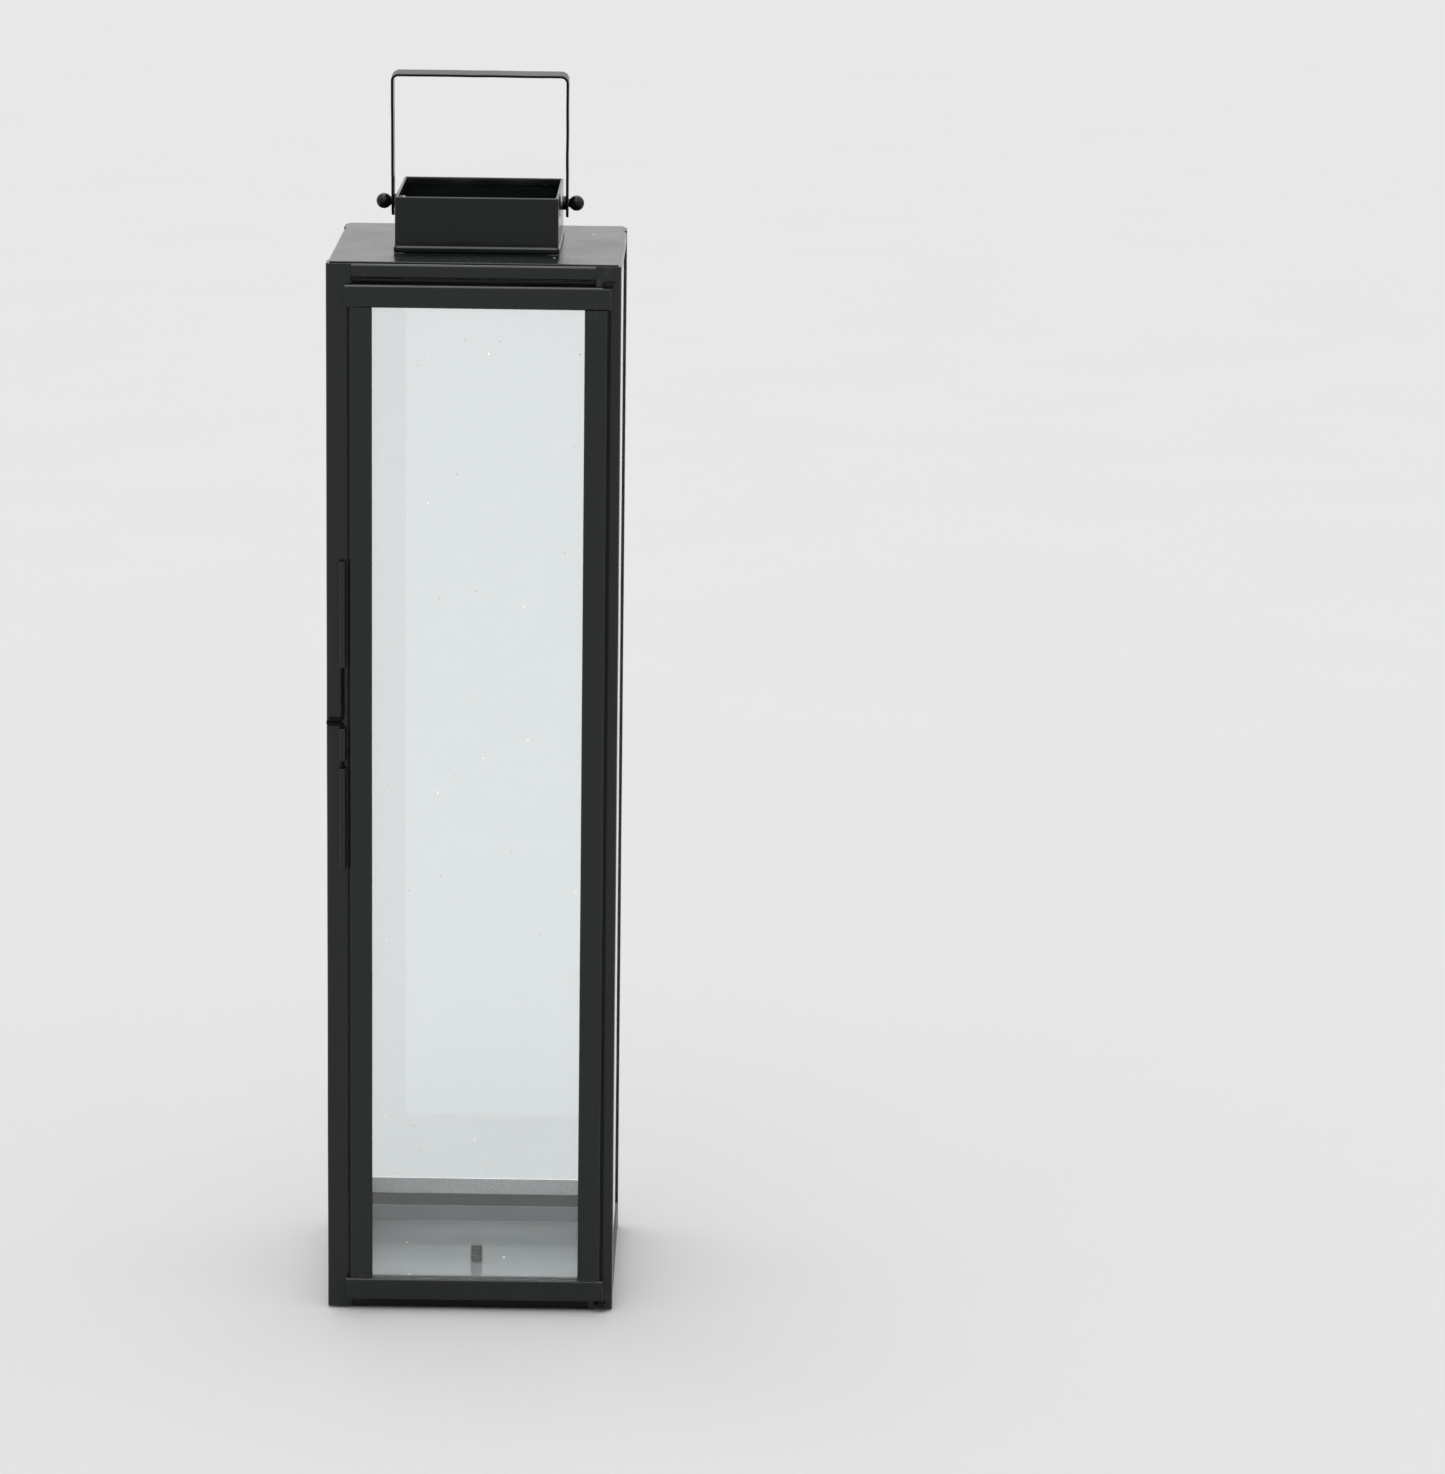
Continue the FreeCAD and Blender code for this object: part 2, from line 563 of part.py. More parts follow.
def hinge_pin(z):
    pin = cylinder_z(HINGE_PIN_RADIUS, z, (HINGE_X, HINGE_Y))
    return pin.makeChamfer(PIN_CHAMFER, [e for e in pin.Edges if len(e.Vertexes) == 1])


def hinge_lug(z):
    """Plate standing out from the right post, bored for the door's pin."""
    plate = box((HINGE_X - HINGE_LUG_HALF, HINGE_X + HINGE_LUG_HALF), (DOOR_FRONT, -HALF), z)
    front = [e for e in plate.Edges
             if abs(e.Vertexes[0].Z - e.Vertexes[1].Z) > TINY and e.Vertexes[0].Y < DOOR_FRONT + TINY]
    plate = plate.makeFillet(HINGE_LUG_CORNER, front)
    bore = cylinder_z(HINGE_PIN_RADIUS + RUNNING_FIT, (z[0] - PAST, z[1] + PAST), (HINGE_X, HINGE_Y))
    return plate.cut(bore)


def hinge_washer(z):
    """Washer round the lower pin, between the lug and the door."""
    washer = cylinder_z(DOOR_DEPTH / 2 - FACE_PLAY, z, (HINGE_X, HINGE_Y))
    bore = cylinder_z(HINGE_PIN_RADIUS + RUNNING_FIT, (z[0] - PAST, z[1] + PAST), (HINGE_X, HINGE_Y))
    return washer.cut(bore)


# ---- latch --------------------------------------------------------------------------------------------

def latch_tube(z, radius, bore_radius):
    """A tube round the latch wire, with softened rims."""
    tube = cylinder_z(radius, z, (LATCH_X, LATCH_Y))
    tube = tube.makeFillet(RING_ROUNDING, [e for e in tube.Edges if len(e.Vertexes) == 1])
    return tube.cut(cylinder_z(bore_radius, (z[0] - PAST, z[1] + PAST), (LATCH_X, LATCH_Y)))


def latch_point(x, z):
    """A point in the upright plane that the latch wire is bent in."""
    return V(x, LATCH_Y, z)


def latch_wire():
    """One bent wire: from the upper sleeve out to the finger loop and back, then into the lower sleeve."""
    tip = -HALF + WIRE_RADIUS
    upper_leg = LOOP_HEIGHT + LOOP_SPREAD / 2
    lower_leg = LOOP_HEIGHT - LOOP_SPREAD / 2
    top = UPPER_SLEEVE[1] - WIRE_END
    bottom = LOWER_SLEEVE[0] + WIRE_END
    loop_bend = LOOP_SPREAD / 2
    loop_x = tip + loop_bend
    loop_centre = latch_point(loop_x, LOOP_HEIGHT)
    upper = path_pieces([latch_point(LATCH_X, top), latch_point(LATCH_X, upper_leg),
                         latch_point(loop_x, upper_leg)], WIRE_BEND)
    lower = path_pieces([latch_point(loop_x, lower_leg), latch_point(LATCH_X, lower_leg),
                         latch_point(LATCH_X, bottom)], WIRE_BEND)
    edges = [piece_edge(start, middle, end) for start, middle, end, _ in upper]
    edges.append(Part.Arc(upper[-1][2], loop_centre - V(loop_bend, 0, 0), lower[0][0]).toShape())
    edges += [piece_edge(start, middle, end) for start, middle, end, _ in lower]
    path = Part.Wire(edges)
    section = Part.Wire(Part.makeCircle(WIRE_RADIUS, latch_point(LATCH_X, top), V(0, 0, 1)))
    return path.makePipeShell([section], True, True)


# ---- all nodes ----------------------------------------------------------------------------------------

def main():
    os.makedirs("parts", exist_ok=True)

    for corner, turn in CORNERS.items():
        save("corner_post_" + corner, turned(corner_post(), turn))
        save("glass_retainer_" + corner, turned(glass_retainer(), turn))
    for side, turn in SIDES.items():
        stop = DOOR_STOP if side == "front" else 0
        save("top_rail_" + side, turned(top_rail(stop), turn))
        save("bottom_rail_" + side, turned(bottom_rail(), turn))
        save("chimney_wall_" + side, bored_chimney_wall(side))
    save("top_gussets", *[turned(top_gusset(), turn) for turn in CORNERS.values()])
    save("floor_pan", floor_pan())
    save("candle_stud", candle_stud())
    save("rubber_feet", *[turned(rubber_foot(), turn) for turn in CORNERS.values()])
    save("roof_plate", roof_plate())
    save("chimney_clips", *[turned(chimney_clip(), turn) for turn in SIDES.values()])
    save("glass_back", side_pane())
    save("glass_left", turned(side_pane(), 90))
    save("glass_right", turned(side_pane(), -90))
    fixed_sides = [turn for side, turn in SIDES.items() if side != "front"]
    save("glazing_strips", *[turned(glazing_strip(), turn) for turn in fixed_sides])

    save("handle_strap", handle_strap())
    save("pivot_washers", pivot_washer(), mirrored_x(pivot_washer()))
    save("strap_spacers", strap_spacer(), mirrored_x(strap_spacer()))
    save("pivot_bolt_right", pivot_bolt())
    save("pivot_bolt_left", mirrored_x(pivot_bolt()))
    save("ball_knob_right", ball_knob())
    save("ball_knob_left", mirrored_x(ball_knob()))

    save("door_top_rail", door_rail(DOOR_TOP, STILE_TOP))
    save("door_bottom_rail", door_rail(DOOR_BOTTOM, STILE_BOTTOM))
    save("door_stile_left", door_stile("left"))
    save("door_stile_right", door_stile("right"))
    save("door_glass", door_glass())
    save("door_beads", *door_beads())
    save("hinge_block_upper", hinge_block(DOOR_TOP, STILE_TOP))
    save("hinge_block_lower", hinge_block(DOOR_BOTTOM, STILE_BOTTOM))
    upper_lug = (DOOR_TOP + UPPER_LUG_GAP, DOOR_TOP + UPPER_LUG_GAP + HINGE_LUG_THICK)
    lower_lug = (DOOR_BOTTOM - LOWER_LUG_GAP - HINGE_LUG_THICK, DOOR_BOTTOM - LOWER_LUG_GAP)
    save("hinge_lug_upper", hinge_lug(upper_lug))
    save("hinge_lug_lower", hinge_lug(lower_lug))
    save("hinge_pin_upper", hinge_pin((DOOR_TOP - HINGE_PIN_DEPTH, upper_lug[1] + HINGE_PIN_PROUD)))
    save("hinge_pin_lower", hinge_pin((lower_lug[0] - HINGE_PIN_PROUD, DOOR_BOTTOM + HINGE_PIN_DEPTH)))
    save("hinge_washer", hinge_washer((lower_lug[1], DOOR_BOTTOM - FACE_PLAY)))

    save("latch_sleeve_upper", latch_tube(UPPER_SLEEVE, SLEEVE_RADIUS, WIRE_RADIUS + RUNNING_FIT))
    save("latch_sleeve_lower", latch_tube(LOWER_SLEEVE, SLEEVE_RADIUS, WIRE_RADIUS + RUNNING_FIT))
    save("latch_collar", latch_tube(COLLAR, SLEEVE_RADIUS, WIRE_RADIUS + TIGHT_FIT))
    save("latch_wire", latch_wire())


main()
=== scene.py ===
"""Looks of the tall candle lantern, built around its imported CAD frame.

Metres, +Z up, the door faces -Y. Each finished piece takes its place and its main sizes from the box of
the CAD node that it stands for. The sizes named at the top are the ones that a box doesn't give: sheet
gauges, bend radii, rounding of edges, and how uneven hand-folded sheet is.
"""

import json
from math import atan2, cos, exp, pi, radians, sin, sqrt, tan

import bmesh
import bpy
from mathutils import Matrix, Vector, noise


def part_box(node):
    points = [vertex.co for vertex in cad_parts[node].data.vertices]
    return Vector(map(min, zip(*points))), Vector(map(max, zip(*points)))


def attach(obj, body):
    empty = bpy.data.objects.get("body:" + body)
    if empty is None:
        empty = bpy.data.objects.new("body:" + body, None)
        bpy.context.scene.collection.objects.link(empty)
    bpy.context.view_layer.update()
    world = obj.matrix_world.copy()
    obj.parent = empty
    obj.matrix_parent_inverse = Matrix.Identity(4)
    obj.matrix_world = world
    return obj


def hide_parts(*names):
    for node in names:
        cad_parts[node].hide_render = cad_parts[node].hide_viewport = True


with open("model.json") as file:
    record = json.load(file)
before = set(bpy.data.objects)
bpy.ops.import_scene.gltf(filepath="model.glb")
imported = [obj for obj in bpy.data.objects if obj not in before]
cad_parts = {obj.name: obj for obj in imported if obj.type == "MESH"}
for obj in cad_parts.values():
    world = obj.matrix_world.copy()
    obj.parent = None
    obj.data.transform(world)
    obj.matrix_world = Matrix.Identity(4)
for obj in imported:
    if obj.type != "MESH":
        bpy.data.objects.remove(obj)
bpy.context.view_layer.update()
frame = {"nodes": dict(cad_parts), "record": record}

# ---- sizes and colours that the CAD boxes don't give ----

MM = 0.001
TINY = 1e-9

SHEET = 1.2 * MM  # gauge of frame, roof and door
FRAME_FOLD = 1.6 * MM  # bend radii are on the sheet's mid-line
DOOR_FOLD = 1.4 * MM
CUT_EASE = 0.25 * MM  # rounding of a cut edge
SEAM_STEP = 0.22 * MM  # how far a rail's face lies behind the posts that it is welded to
TOP_RAIL_SHELF = 14.0 * MM
TOP_RAIL_LIP = 8.0 * MM
BOTTOM_RAIL_SHELF = 12.0 * MM
BOTTOM_RAIL_LIP = 5.0 * MM
RETAINER_SHEET = 0.8 * MM
RETAINER_FOLD = 1.2 * MM
RETAINER_LEG = 10.0 * MM
STRIP_PLAY = 0.2 * MM
GLASS_EASE = 0.35 * MM  # ground edge of a pane

VENT_HALF = 50.0 * MM
VENT_CORNER = 3.0 * MM
ROOF_CORNER = 2.0 * MM
ROOF_ROLL = 0.5 * MM

CHIMNEY_SHEET = 1.0 * MM
CHIMNEY_FOLD = 0.6 * MM
CHIMNEY_CORNER = 1.5 * MM  # outer radius where two walls meet
CHIMNEY_CORNER_LEAST = 0.25 * MM
BEAD_PROUD = 0.9 * MM
BEAD_HEIGHTS = [0.8 * MM, 1.7 * MM, 3.7 * MM, 5.1 * MM]
HEM_DEPTH = 5.0 * MM
PILLOW = 1.1 * MM  # how far a chimney wall bulges at its middle
PILLOW_RATE = 34.0  # per metre: how fast that bulge varies
FLAT_ROUND_BOLT = 11.0 * MM  # nearer to a bolt than about this, the bulge fades away
BOLT_PLAY = 0.1 * MM
WELD_RADIUS = 0.75 * MM
WELD_RUN = 7.0 * MM

PAN_SHEET = 1.0 * MM
PAN_FOLD = 1.8 * MM  # outer bend radius between floor and lips
PAN_CORNER = 2.5 * MM

STUD_CORE = 3.9 * MM
STUD_CREST = 4.6 * MM
STUD_FIT = 0.05 * MM  # play of the stud in its hole in the pan
STUD_PITCH = 2.4 * MM
STUD_HEAD = 7.0 * MM
STUD_HEAD_HEIGHT = 1.0 * MM
STUD_TIP = 1.0 * MM  # height of the chamfer at the stud's tip
THREAD_RUN_IN = 0.8 * MM
THREAD_RUN_OUT = 1.2 * MM

RUBBER_RADIUS = 4.6 * MM

BOLT_RADIUS = 2.0 * MM
BOLT_HEAD_FLATS = 7.0 * MM
BOLT_HEAD_HEIGHT = 3.0 * MM
KNOB_RADIUS = 5.4 * MM
KNOB_NECK = 2.9 * MM
KNOB_BORE_END = 1.6 * MM  # the bore goes this far past the ball's centre
RING_BORE = 2.05 * MM
WASHER_THICK = 1.0 * MM
SPACER_THICK = 2.4 * MM

STRAP_THICK = 1.8 * MM
STRAP_WIDTH = 16.0 * MM
STRAP_CORNER = 4.6 * MM
STRAP_REACH = 92.0 * MM  # pivot to the strap's upper face
STRAP_TAIL = 10.1 * MM  # pivot to the strap's lower ends
STRAP_EDGE = 0.5 * MM
STRAP_WAVER = 0.18 * MM
STRAP_TRUE = 20.0 * MM  # the strap is straight to this distance from its bolts
HANDLE_LEAN = 5.8  # degrees

RAIL_WIDTH = 15.8 * MM  # visible width of the door's rails and stiles
STILE_INSET = 2.8 * MM
GLASS_REBATE = 2.5 * MM  # the door glass lies this far behind the door's face
LATCH_SIDE_FLANGE = 1.7 * MM
HINGE_SIDE_FLANGE = 2.2 * MM
GROOVE_EDGE = 0.3 * MM  # a stile's flange takes the darker matt paint, painted shade, this far outside the middle of its step

WIRE_RADIUS = 1.15 * MM
WIRE_BEND = 2.4 * MM
RUNNING_FIT = 0.07 * MM  # of the wire in its sleeves, and of the strap on its bolts
WIRE_WAVER = 0.22 * MM
LOOP_SPREAD = 2.8 * MM  # between the mid-lines of the finger loop's two legs
LOOP_ABOVE_COLLAR = 0.6 * MM
SLEEVE_EASE = 0.3 * MM
SLEEVE_SEAM = radians(24)  # the part of a rolled sleeve that stays open
SLEEVE_SEAM_AT = radians(-28)
BRAZE_RADIUS = 0.7 * MM
BRAZE_LENGTH = 8.0 * MM
BRAZE_IN = 0.4 * MM  # it starts this far from a sleeve's end
BRAZE_ASIDE = 1.9 * MM  # from the sleeve's axis
BRAZE_DEEP = 0.55 * MM  # in front of the sleeve's back
CRIMP_REACH = 3.2 * MM
CRIMP_DEPTH = 0.16  # share of the radius

SWAY = 0.22 * MM  # how far the sheet strays, always towards the lantern's axis
SWAY_RATE = 11.0  # per metre
DENT = 0.16 * MM  # unevenness of roof and floor
DENT_RATE = 19.0  # slow dents, per metre
SMALL_DENT_RATE = 48.0

HORIZON_GLOW = 0.84  # radiance of the studio at the horizon and overhead
ZENITH_GLOW = 2.0
LAMP = 0.9  # lamps: overhead, and in front for the highlights along bends and beads
FRONT_LAMP = 0.6
PAPER = 0.366  # reflectance of the paper
PAPER_HALF_WIDTH = 12.0  # the paper's extent, in metres
PAPER_NEAR = -14.0
PAPER_FAR = 30.0

DUST = (0.16, 0.155, 0.145)
BARE_STEEL = (0.075, 0.073, 0.070)
CRUMB = (0.62, 0.61, 0.58)
RUST = (0.115, 0.066, 0.040)

CORNERS = ["front_left", "front_right", "back_right", "back_left"]
SIDES = ["front", "right", "back", "left"]

HALF = -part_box("corner_post_front_left")[0].x
AXIS_Y = (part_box("corner_post_front_left")[0].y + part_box("corner_post_back_left")[1].y) / 2
PIVOT_Z = sum(corner.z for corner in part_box("pivot_washers")) / 2
BODIES = frame["record"]["behaviour"]["bodies"]
BODY_OF = {node: body for body, nodes in BODIES.items() for node in nodes}


# ---- shapes: a shape is (vertices, faces) ----

def skinned(rows, ring=False):
    """Faces between closed rows of points. The ends are capped, or joined to each other in a ring."""
    count = len(rows[0])
    vertices = [point for row in rows for point in row]
    faces = []
    for i in range(len(rows) if ring else len(rows) - 1):
        a = i * count
        b = (i + 1) % len(rows) * count
        faces += [(a + k, a + (k + 1) % count, b + (k + 1) % count, b + k) for k in range(count)]
    if not ring:
        last = (len(rows) - 1) * count
        faces += [tuple(range(count)), tuple(range(last, last + count))]
    return vertices, faces


def joined(shapes):
    vertices = []
    faces = []
    for more_vertices, more_faces in shapes:
        base = len(vertices)
        vertices += more_vertices
        faces += [tuple(index + base for index in face) for face in more_faces]
    return vertices, faces


def moved(shape, matrix):
    return [matrix @ Vector(point) for point in shape[0]], shape[1]


def reshaped(shape, function):
    return [function(Vector(point)) for point in shape[0]], shape[1]


def spoke(angle):
    return Vector((cos(angle), sin(angle)))


def around(radius, angle, height):
    """A point about the Z axis."""
    return Vector((radius * cos(angle), radius * sin(angle), height))


def shift(x, y, z):
    return Matrix.Translation((x, y, z))


def turn(degrees, axis):
    return Matrix.Rotation(radians(degrees), 4, axis)


def fold_path(corners, radius, arc_steps=6, run_step=None):
    """Mid-line of a folded sheet in its section, as (point, left normal) pairs, with arcs at the corners."""
    corners = [Vector(corner) for corner in corners]
    samples = []

    def add_run(start, end):
        along = end - start
        normal = Vector((-along.y, along.x)).normalized()
        steps = max(1, round(along.length / run_step)) if run_step else 1
        for k in range(1 if samples else 0, steps + 1):
            samples.append((start + along * (k / steps), normal))

    start = corners[0]
    for before, corner, after in zip(corners, corners[1:], corners[2:]):
        into = (before - corner).normalized()
        out = (after - corner).normalized()
        half_turn = (pi - into.angle(out)) / 2
        setback = radius * tan(half_turn)
        centre = corner + (into + out).normalized() * (radius / cos(half_turn))
        enter = corner + into * setback
        if (enter - start).length > TINY:
            add_run(start, enter)
        side = 1 if into.y * out.x - into.x * out.y > 0 else -1
        first = atan2(enter.y - centre.y, enter.x - centre.x)
        for k in range(1, arc_steps + 1):
            outwards = spoke(first + side * 2 * half_turn * k / arc_steps)
            samples.append((centre + outwards * radius, -side * outwards))
        start = corner + out * setback
    add_run(start, corners[-1])
    return samples


def arc_path(centre, radius, first, last, steps):
    """Mid-line of a rolled sheet, as (point, left normal) pairs, turning to the left."""
    samples = []
    for k in range(steps + 1):
        outwards = spoke(first + (last - first) * k / steps)
        samples.append((Vector(centre) + outwards * radius, -outwards))
    return samples


def rounded_end(point, normal, outward, half, ease, steps=3):
    """The rounded cut edge of a sheet, from its left face to its right one."""
    base = point - outward * ease
    upper = []
    lower = []
    for k in range(steps + 1):
        angle = radians(90) * k / steps
        near = ease * cos(angle)
        far = ease * sin(angle)
        upper.append(base + normal * (half - ease + near) + outward * far)
        lower.append(base - normal * (half - ease + far) + outward * near)
    return upper + lower


def sheet_outline(path, thickness, ease=CUT_EASE):
    """Closed section of a sheet about its mid-line. It runs clockwise."""
    half = thickness / 2
    first, first_normal = path[0]
    last, last_normal = path[-1]
    left = [point + normal * half for point, normal in path[1:-1]]
    right = [point - normal * half for point, normal in path[1:-1]]
    ahead = Vector((last_normal.y, -last_normal.x))
    back = Vector((-first_normal.y, first_normal.x))
    return (left + rounded_end(last, last_normal, ahead, half, ease)
            + right[::-1] + rounded_end(first, -first_normal, back, half, ease))


def rectangle_outline(low, high, ease, steps=3):
    """Clockwise rectangle with rounded corners."""
    outline = []
    left, bottom = low[:2]
    right, top = high[:2]
    centres = [(left + ease, top - ease), (right - ease, top - ease),
               (right - ease, bottom + ease), (left + ease, bottom + ease)]
    for index, centre in enumerate(centres):
        first = radians(180 - 90 * index)
        for k in range(steps + 1):
            outline.append(Vector(centre) + ease * spoke(first - radians(90) * k / steps))
    return outline


def outward_normals(outline):
    """Outward normals of a clockwise outline."""
    normals = []
    for k in range(len(outline)):
        along = outline[(k + 1) % len(outline)] - outline[k - 1]
        normals.append(Vector((-along.y, along.x)).normalized())
    return normals


def extruded(outline, low, high, step=20 * MM, ease=CUT_EASE):
    """An outline pulled along the third axis, with rounded ends."""
    normals = outward_normals(outline)
    quarter = [radians(90) * k / 3 for k in range(4)]
    start = [(low + ease * (1 - cos(a)), ease * (1 - sin(a))) for a in quarter]
    end = [(high - ease * (1 - cos(a)), ease * (1 - sin(a))) for a in reversed(quarter)]
    length = high - low - 2 * ease
    steps = max(1, round(length / step))
    middle = [(low + ease + length * k / steps, 0) for k in range(1, steps)]
    rows = []
    for along, inset in start + middle + end:
        drawn_in = [point - normal * inset for point, normal in zip(outline, normals)]
        rows.append([Vector((*point, along)) for point in drawn_in])
    return skinned(rows)


def rounded_square(half, corner, z, side_steps=40, corner_steps=4):
    """A closed loop round a square with rounded corners, about the Z axis."""
    straight = half - corner
    loop = []
    for quarter in range(4):
        side = turn(90 * quarter, "Z")
        for k in range(side_steps):
            loop.append(side @ Vector((straight * (2 * k / side_steps - 1), -half, z)))
        for k in range(corner_steps):
            angle = radians(-90 + 90 * k / corner_steps)
            x = straight + corner * cos(angle)
            y = -straight + corner * sin(angle)
            loop.append(side @ Vector((x, y, z)))
    return loop


def rounder(loop, share):
    """The loop drawn towards the circle that touches its sides: share 0 is the circle, 1 the loop."""
    radius = max(abs(point.x) for point in loop)
    circle = [Vector((*(point.xy.normalized() * radius), point.z)) for point in loop]
    return [on_circle.lerp(point, share) for on_circle, point in zip(circle, loop)]


def turned_profile(profile, segments=64, ring=False):
    """A profile of (radius, height) points turned about Z. A ring's profile is closed."""
    angles = [2 * pi * k / segments for k in range(segments)]
    return skinned([[around(radius, a, height) for a in angles] for radius, height in profile], ring)


def profile_arc(centre, radius, first, last, steps):
    """Points of an arc in a (radius, height) profile; angles in degrees from the radial direction."""
    angles = [radians(first + (last - first) * k / steps) for k in range(steps + 1)]
    return [(centre[0] + radius * cos(a), centre[1] + radius * sin(a)) for a in angles]


def ring_profile(bore, radius, low, high, ease):
    """Closed profile of a washer or spacer with rounded edges."""
    return (profile_arc((radius - ease, low + ease), ease, -90, 0, 4)
            + profile_arc((radius - ease, high - ease), ease, 0, 90, 4)
            + profile_arc((bore + ease / 2, high - ease / 2), ease / 2, 90, 180, 2)
            + profile_arc((bore + ease / 2, low + ease / 2), ease / 2, 180, 270, 2))


def tube(points, radii, across, segments=20):
    """A round tube along points that lie in the plane whose normal is across."""
    rows = []
    for k, (point, radius) in enumerate(zip(points, radii)):
        along = points[min(k + 1, len(points) - 1)] - points[max(k - 1, 0)]
        side = across.cross(along).normalized()
        rows.append([point + radius * (cos(a) * side + sin(a) * across)
                     for a in (2 * pi * j / segments for j in range(segments))])
    return skinned(rows)


def bead_of_weld(start, end, radius, seed, step=0.55 * MM):
    """A lumpy bead along a line, thin at its ends, for a welded or brazed corner."""
    steps = max(6, round((end - start).length / step))
    across = (end - start).orthogonal().normalized()
    points = []
    radii = []
    for k in range(steps + 1):
        share = k / steps
        points.append(start.lerp(end, share))
        swell = sin(pi * min(1, max(0.02, share) / 0.12, max(0.02, 1 - share) / 0.12) / 2)
        chance = noise.noise(Vector((k * 0.37, seed, 0)))
        ripple = 0.82 + 0.18 * sin(share * steps * 1.9) + 0.22 * chance
        radii.append(radius * swell * ripple)
    return tube(points, radii, across, 12)


# ---- pieces ----

# turns a (y, z) section that was pulled along the third axis to run along X
ALONG_X = Matrix(((0, 0, 1, 0), (1, 0, 0, 0), (0, 1, 0, 0), (0, 0, 0, 1)))


def about_axis(quarter):
    """From a shape drawn about the lantern's axis to one of its four sides."""
    return shift(0, AXIS_Y, 0) @ turn(90 * quarter, "Z")


def strayed(point):
    """Where hand-folded sheet really is: a little nearer the lantern's axis, by an amount that drifts."""
    pull_x = SWAY * (0.5 + 0.5 * noise.noise(point * SWAY_RATE))
    pull_y = SWAY * (0.5 + 0.5 * noise.noise(point * SWAY_RATE + Vector((40, 0, 0))))
    x = point.x * (1 - pull_x / HALF)
    y = AXIS_Y + (point.y - AXIS_Y) * (1 - pull_y / HALF)
    return Vector((x, y, point.z))


def folded_by_hand(shape, quarter):
    """From a sheet drawn about the lantern's axis to one of its four sides, slightly uneven."""
    return reshaped(moved(shape, about_axis(quarter)), strayed)


def new_object(name, data):
    thing = bpy.data.objects.new(name, data)
    bpy.context.scene.collection.objects.link(thing)
    return thing


def mesh_of(name, shape):
    """A mesh whose normals all face outwards."""
    mesh = bpy.data.meshes.new(name)
    mesh.from_pydata([tuple(point) for point in shape[0]], [], shape[1])
    edit = bmesh.new()
    edit.from_mesh(mesh)
    bmesh.ops.recalc_face_normals(edit, faces=edit.faces)
    edit.to_mesh(mesh)
    edit.free()
    return mesh


def new_piece(name, shape, material, hole=None):
    """An object in the scene, whose flat faces stay flat under smooth shading. hole is cut away from it."""
    piece = new_object(name, mesh_of(name, shape))
    if hole:
        cutter = new_object("cutter", mesh_of("cutter", hole))
        cut = piece.modifiers.new("hole", "BOOLEAN")
        cut.object = cutter
        graph = bpy.context.evaluated_depsgraph_get()
        bored = bpy.data.meshes.new_from_object(piece.evaluated_get(graph))
        piece.modifiers.remove(cut)
        piece.data = bored
        bpy.data.objects.remove(cutter)
    piece.data.materials.clear()
    piece.data.materials.append(material)
    piece.data.shade_smooth()
    piece.data.set_sharp_from_angle(angle=radians(35))
    weighted = piece.modifiers.new("flat_faces_stay_flat", "WEIGHTED_NORMAL")
    weighted.keep_sharp = True
    return piece


def stand_in(node, shape, finish, hole=None):
    """A finished piece in place of one CAD node."""
    slot, material = finish
    piece = new_piece(node + "_finished", shape, material, hole)
    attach(piece, BODY_OF[node])
    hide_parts(node)
    return piece


def extra(name, body, shape, finish):
    """A piece with no CAD node of its own, such as a weld."""
    slot, material = finish
    piece = new_piece(name, shape, material)
    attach(piece, body)
    return piece


def dress(node, finish, ease=0.18 * MM):
    """Keep a CAD node, with its own material and softened edges."""
    slot, material = finish
    piece = frame["nodes"][node]
    piece.data.materials.clear()
    piece.data.materials.append(material)
    merge = piece.modifiers.new("one_skin", "WELD")
    merge.merge_threshold = 0.001 * MM
    bevel = piece.modifiers.new("eased_edges", "BEVEL")
    bevel.width = ease
    bevel.segments = 2
    bevel.limit_method = "ANGLE"
    bevel.angle_limit = radians(50)
    bevel.use_clamp_overlap = True
    piece.modifiers.new("flat_faces_stay_flat", "WEIGHTED_NORMAL")


# ---- materials ----

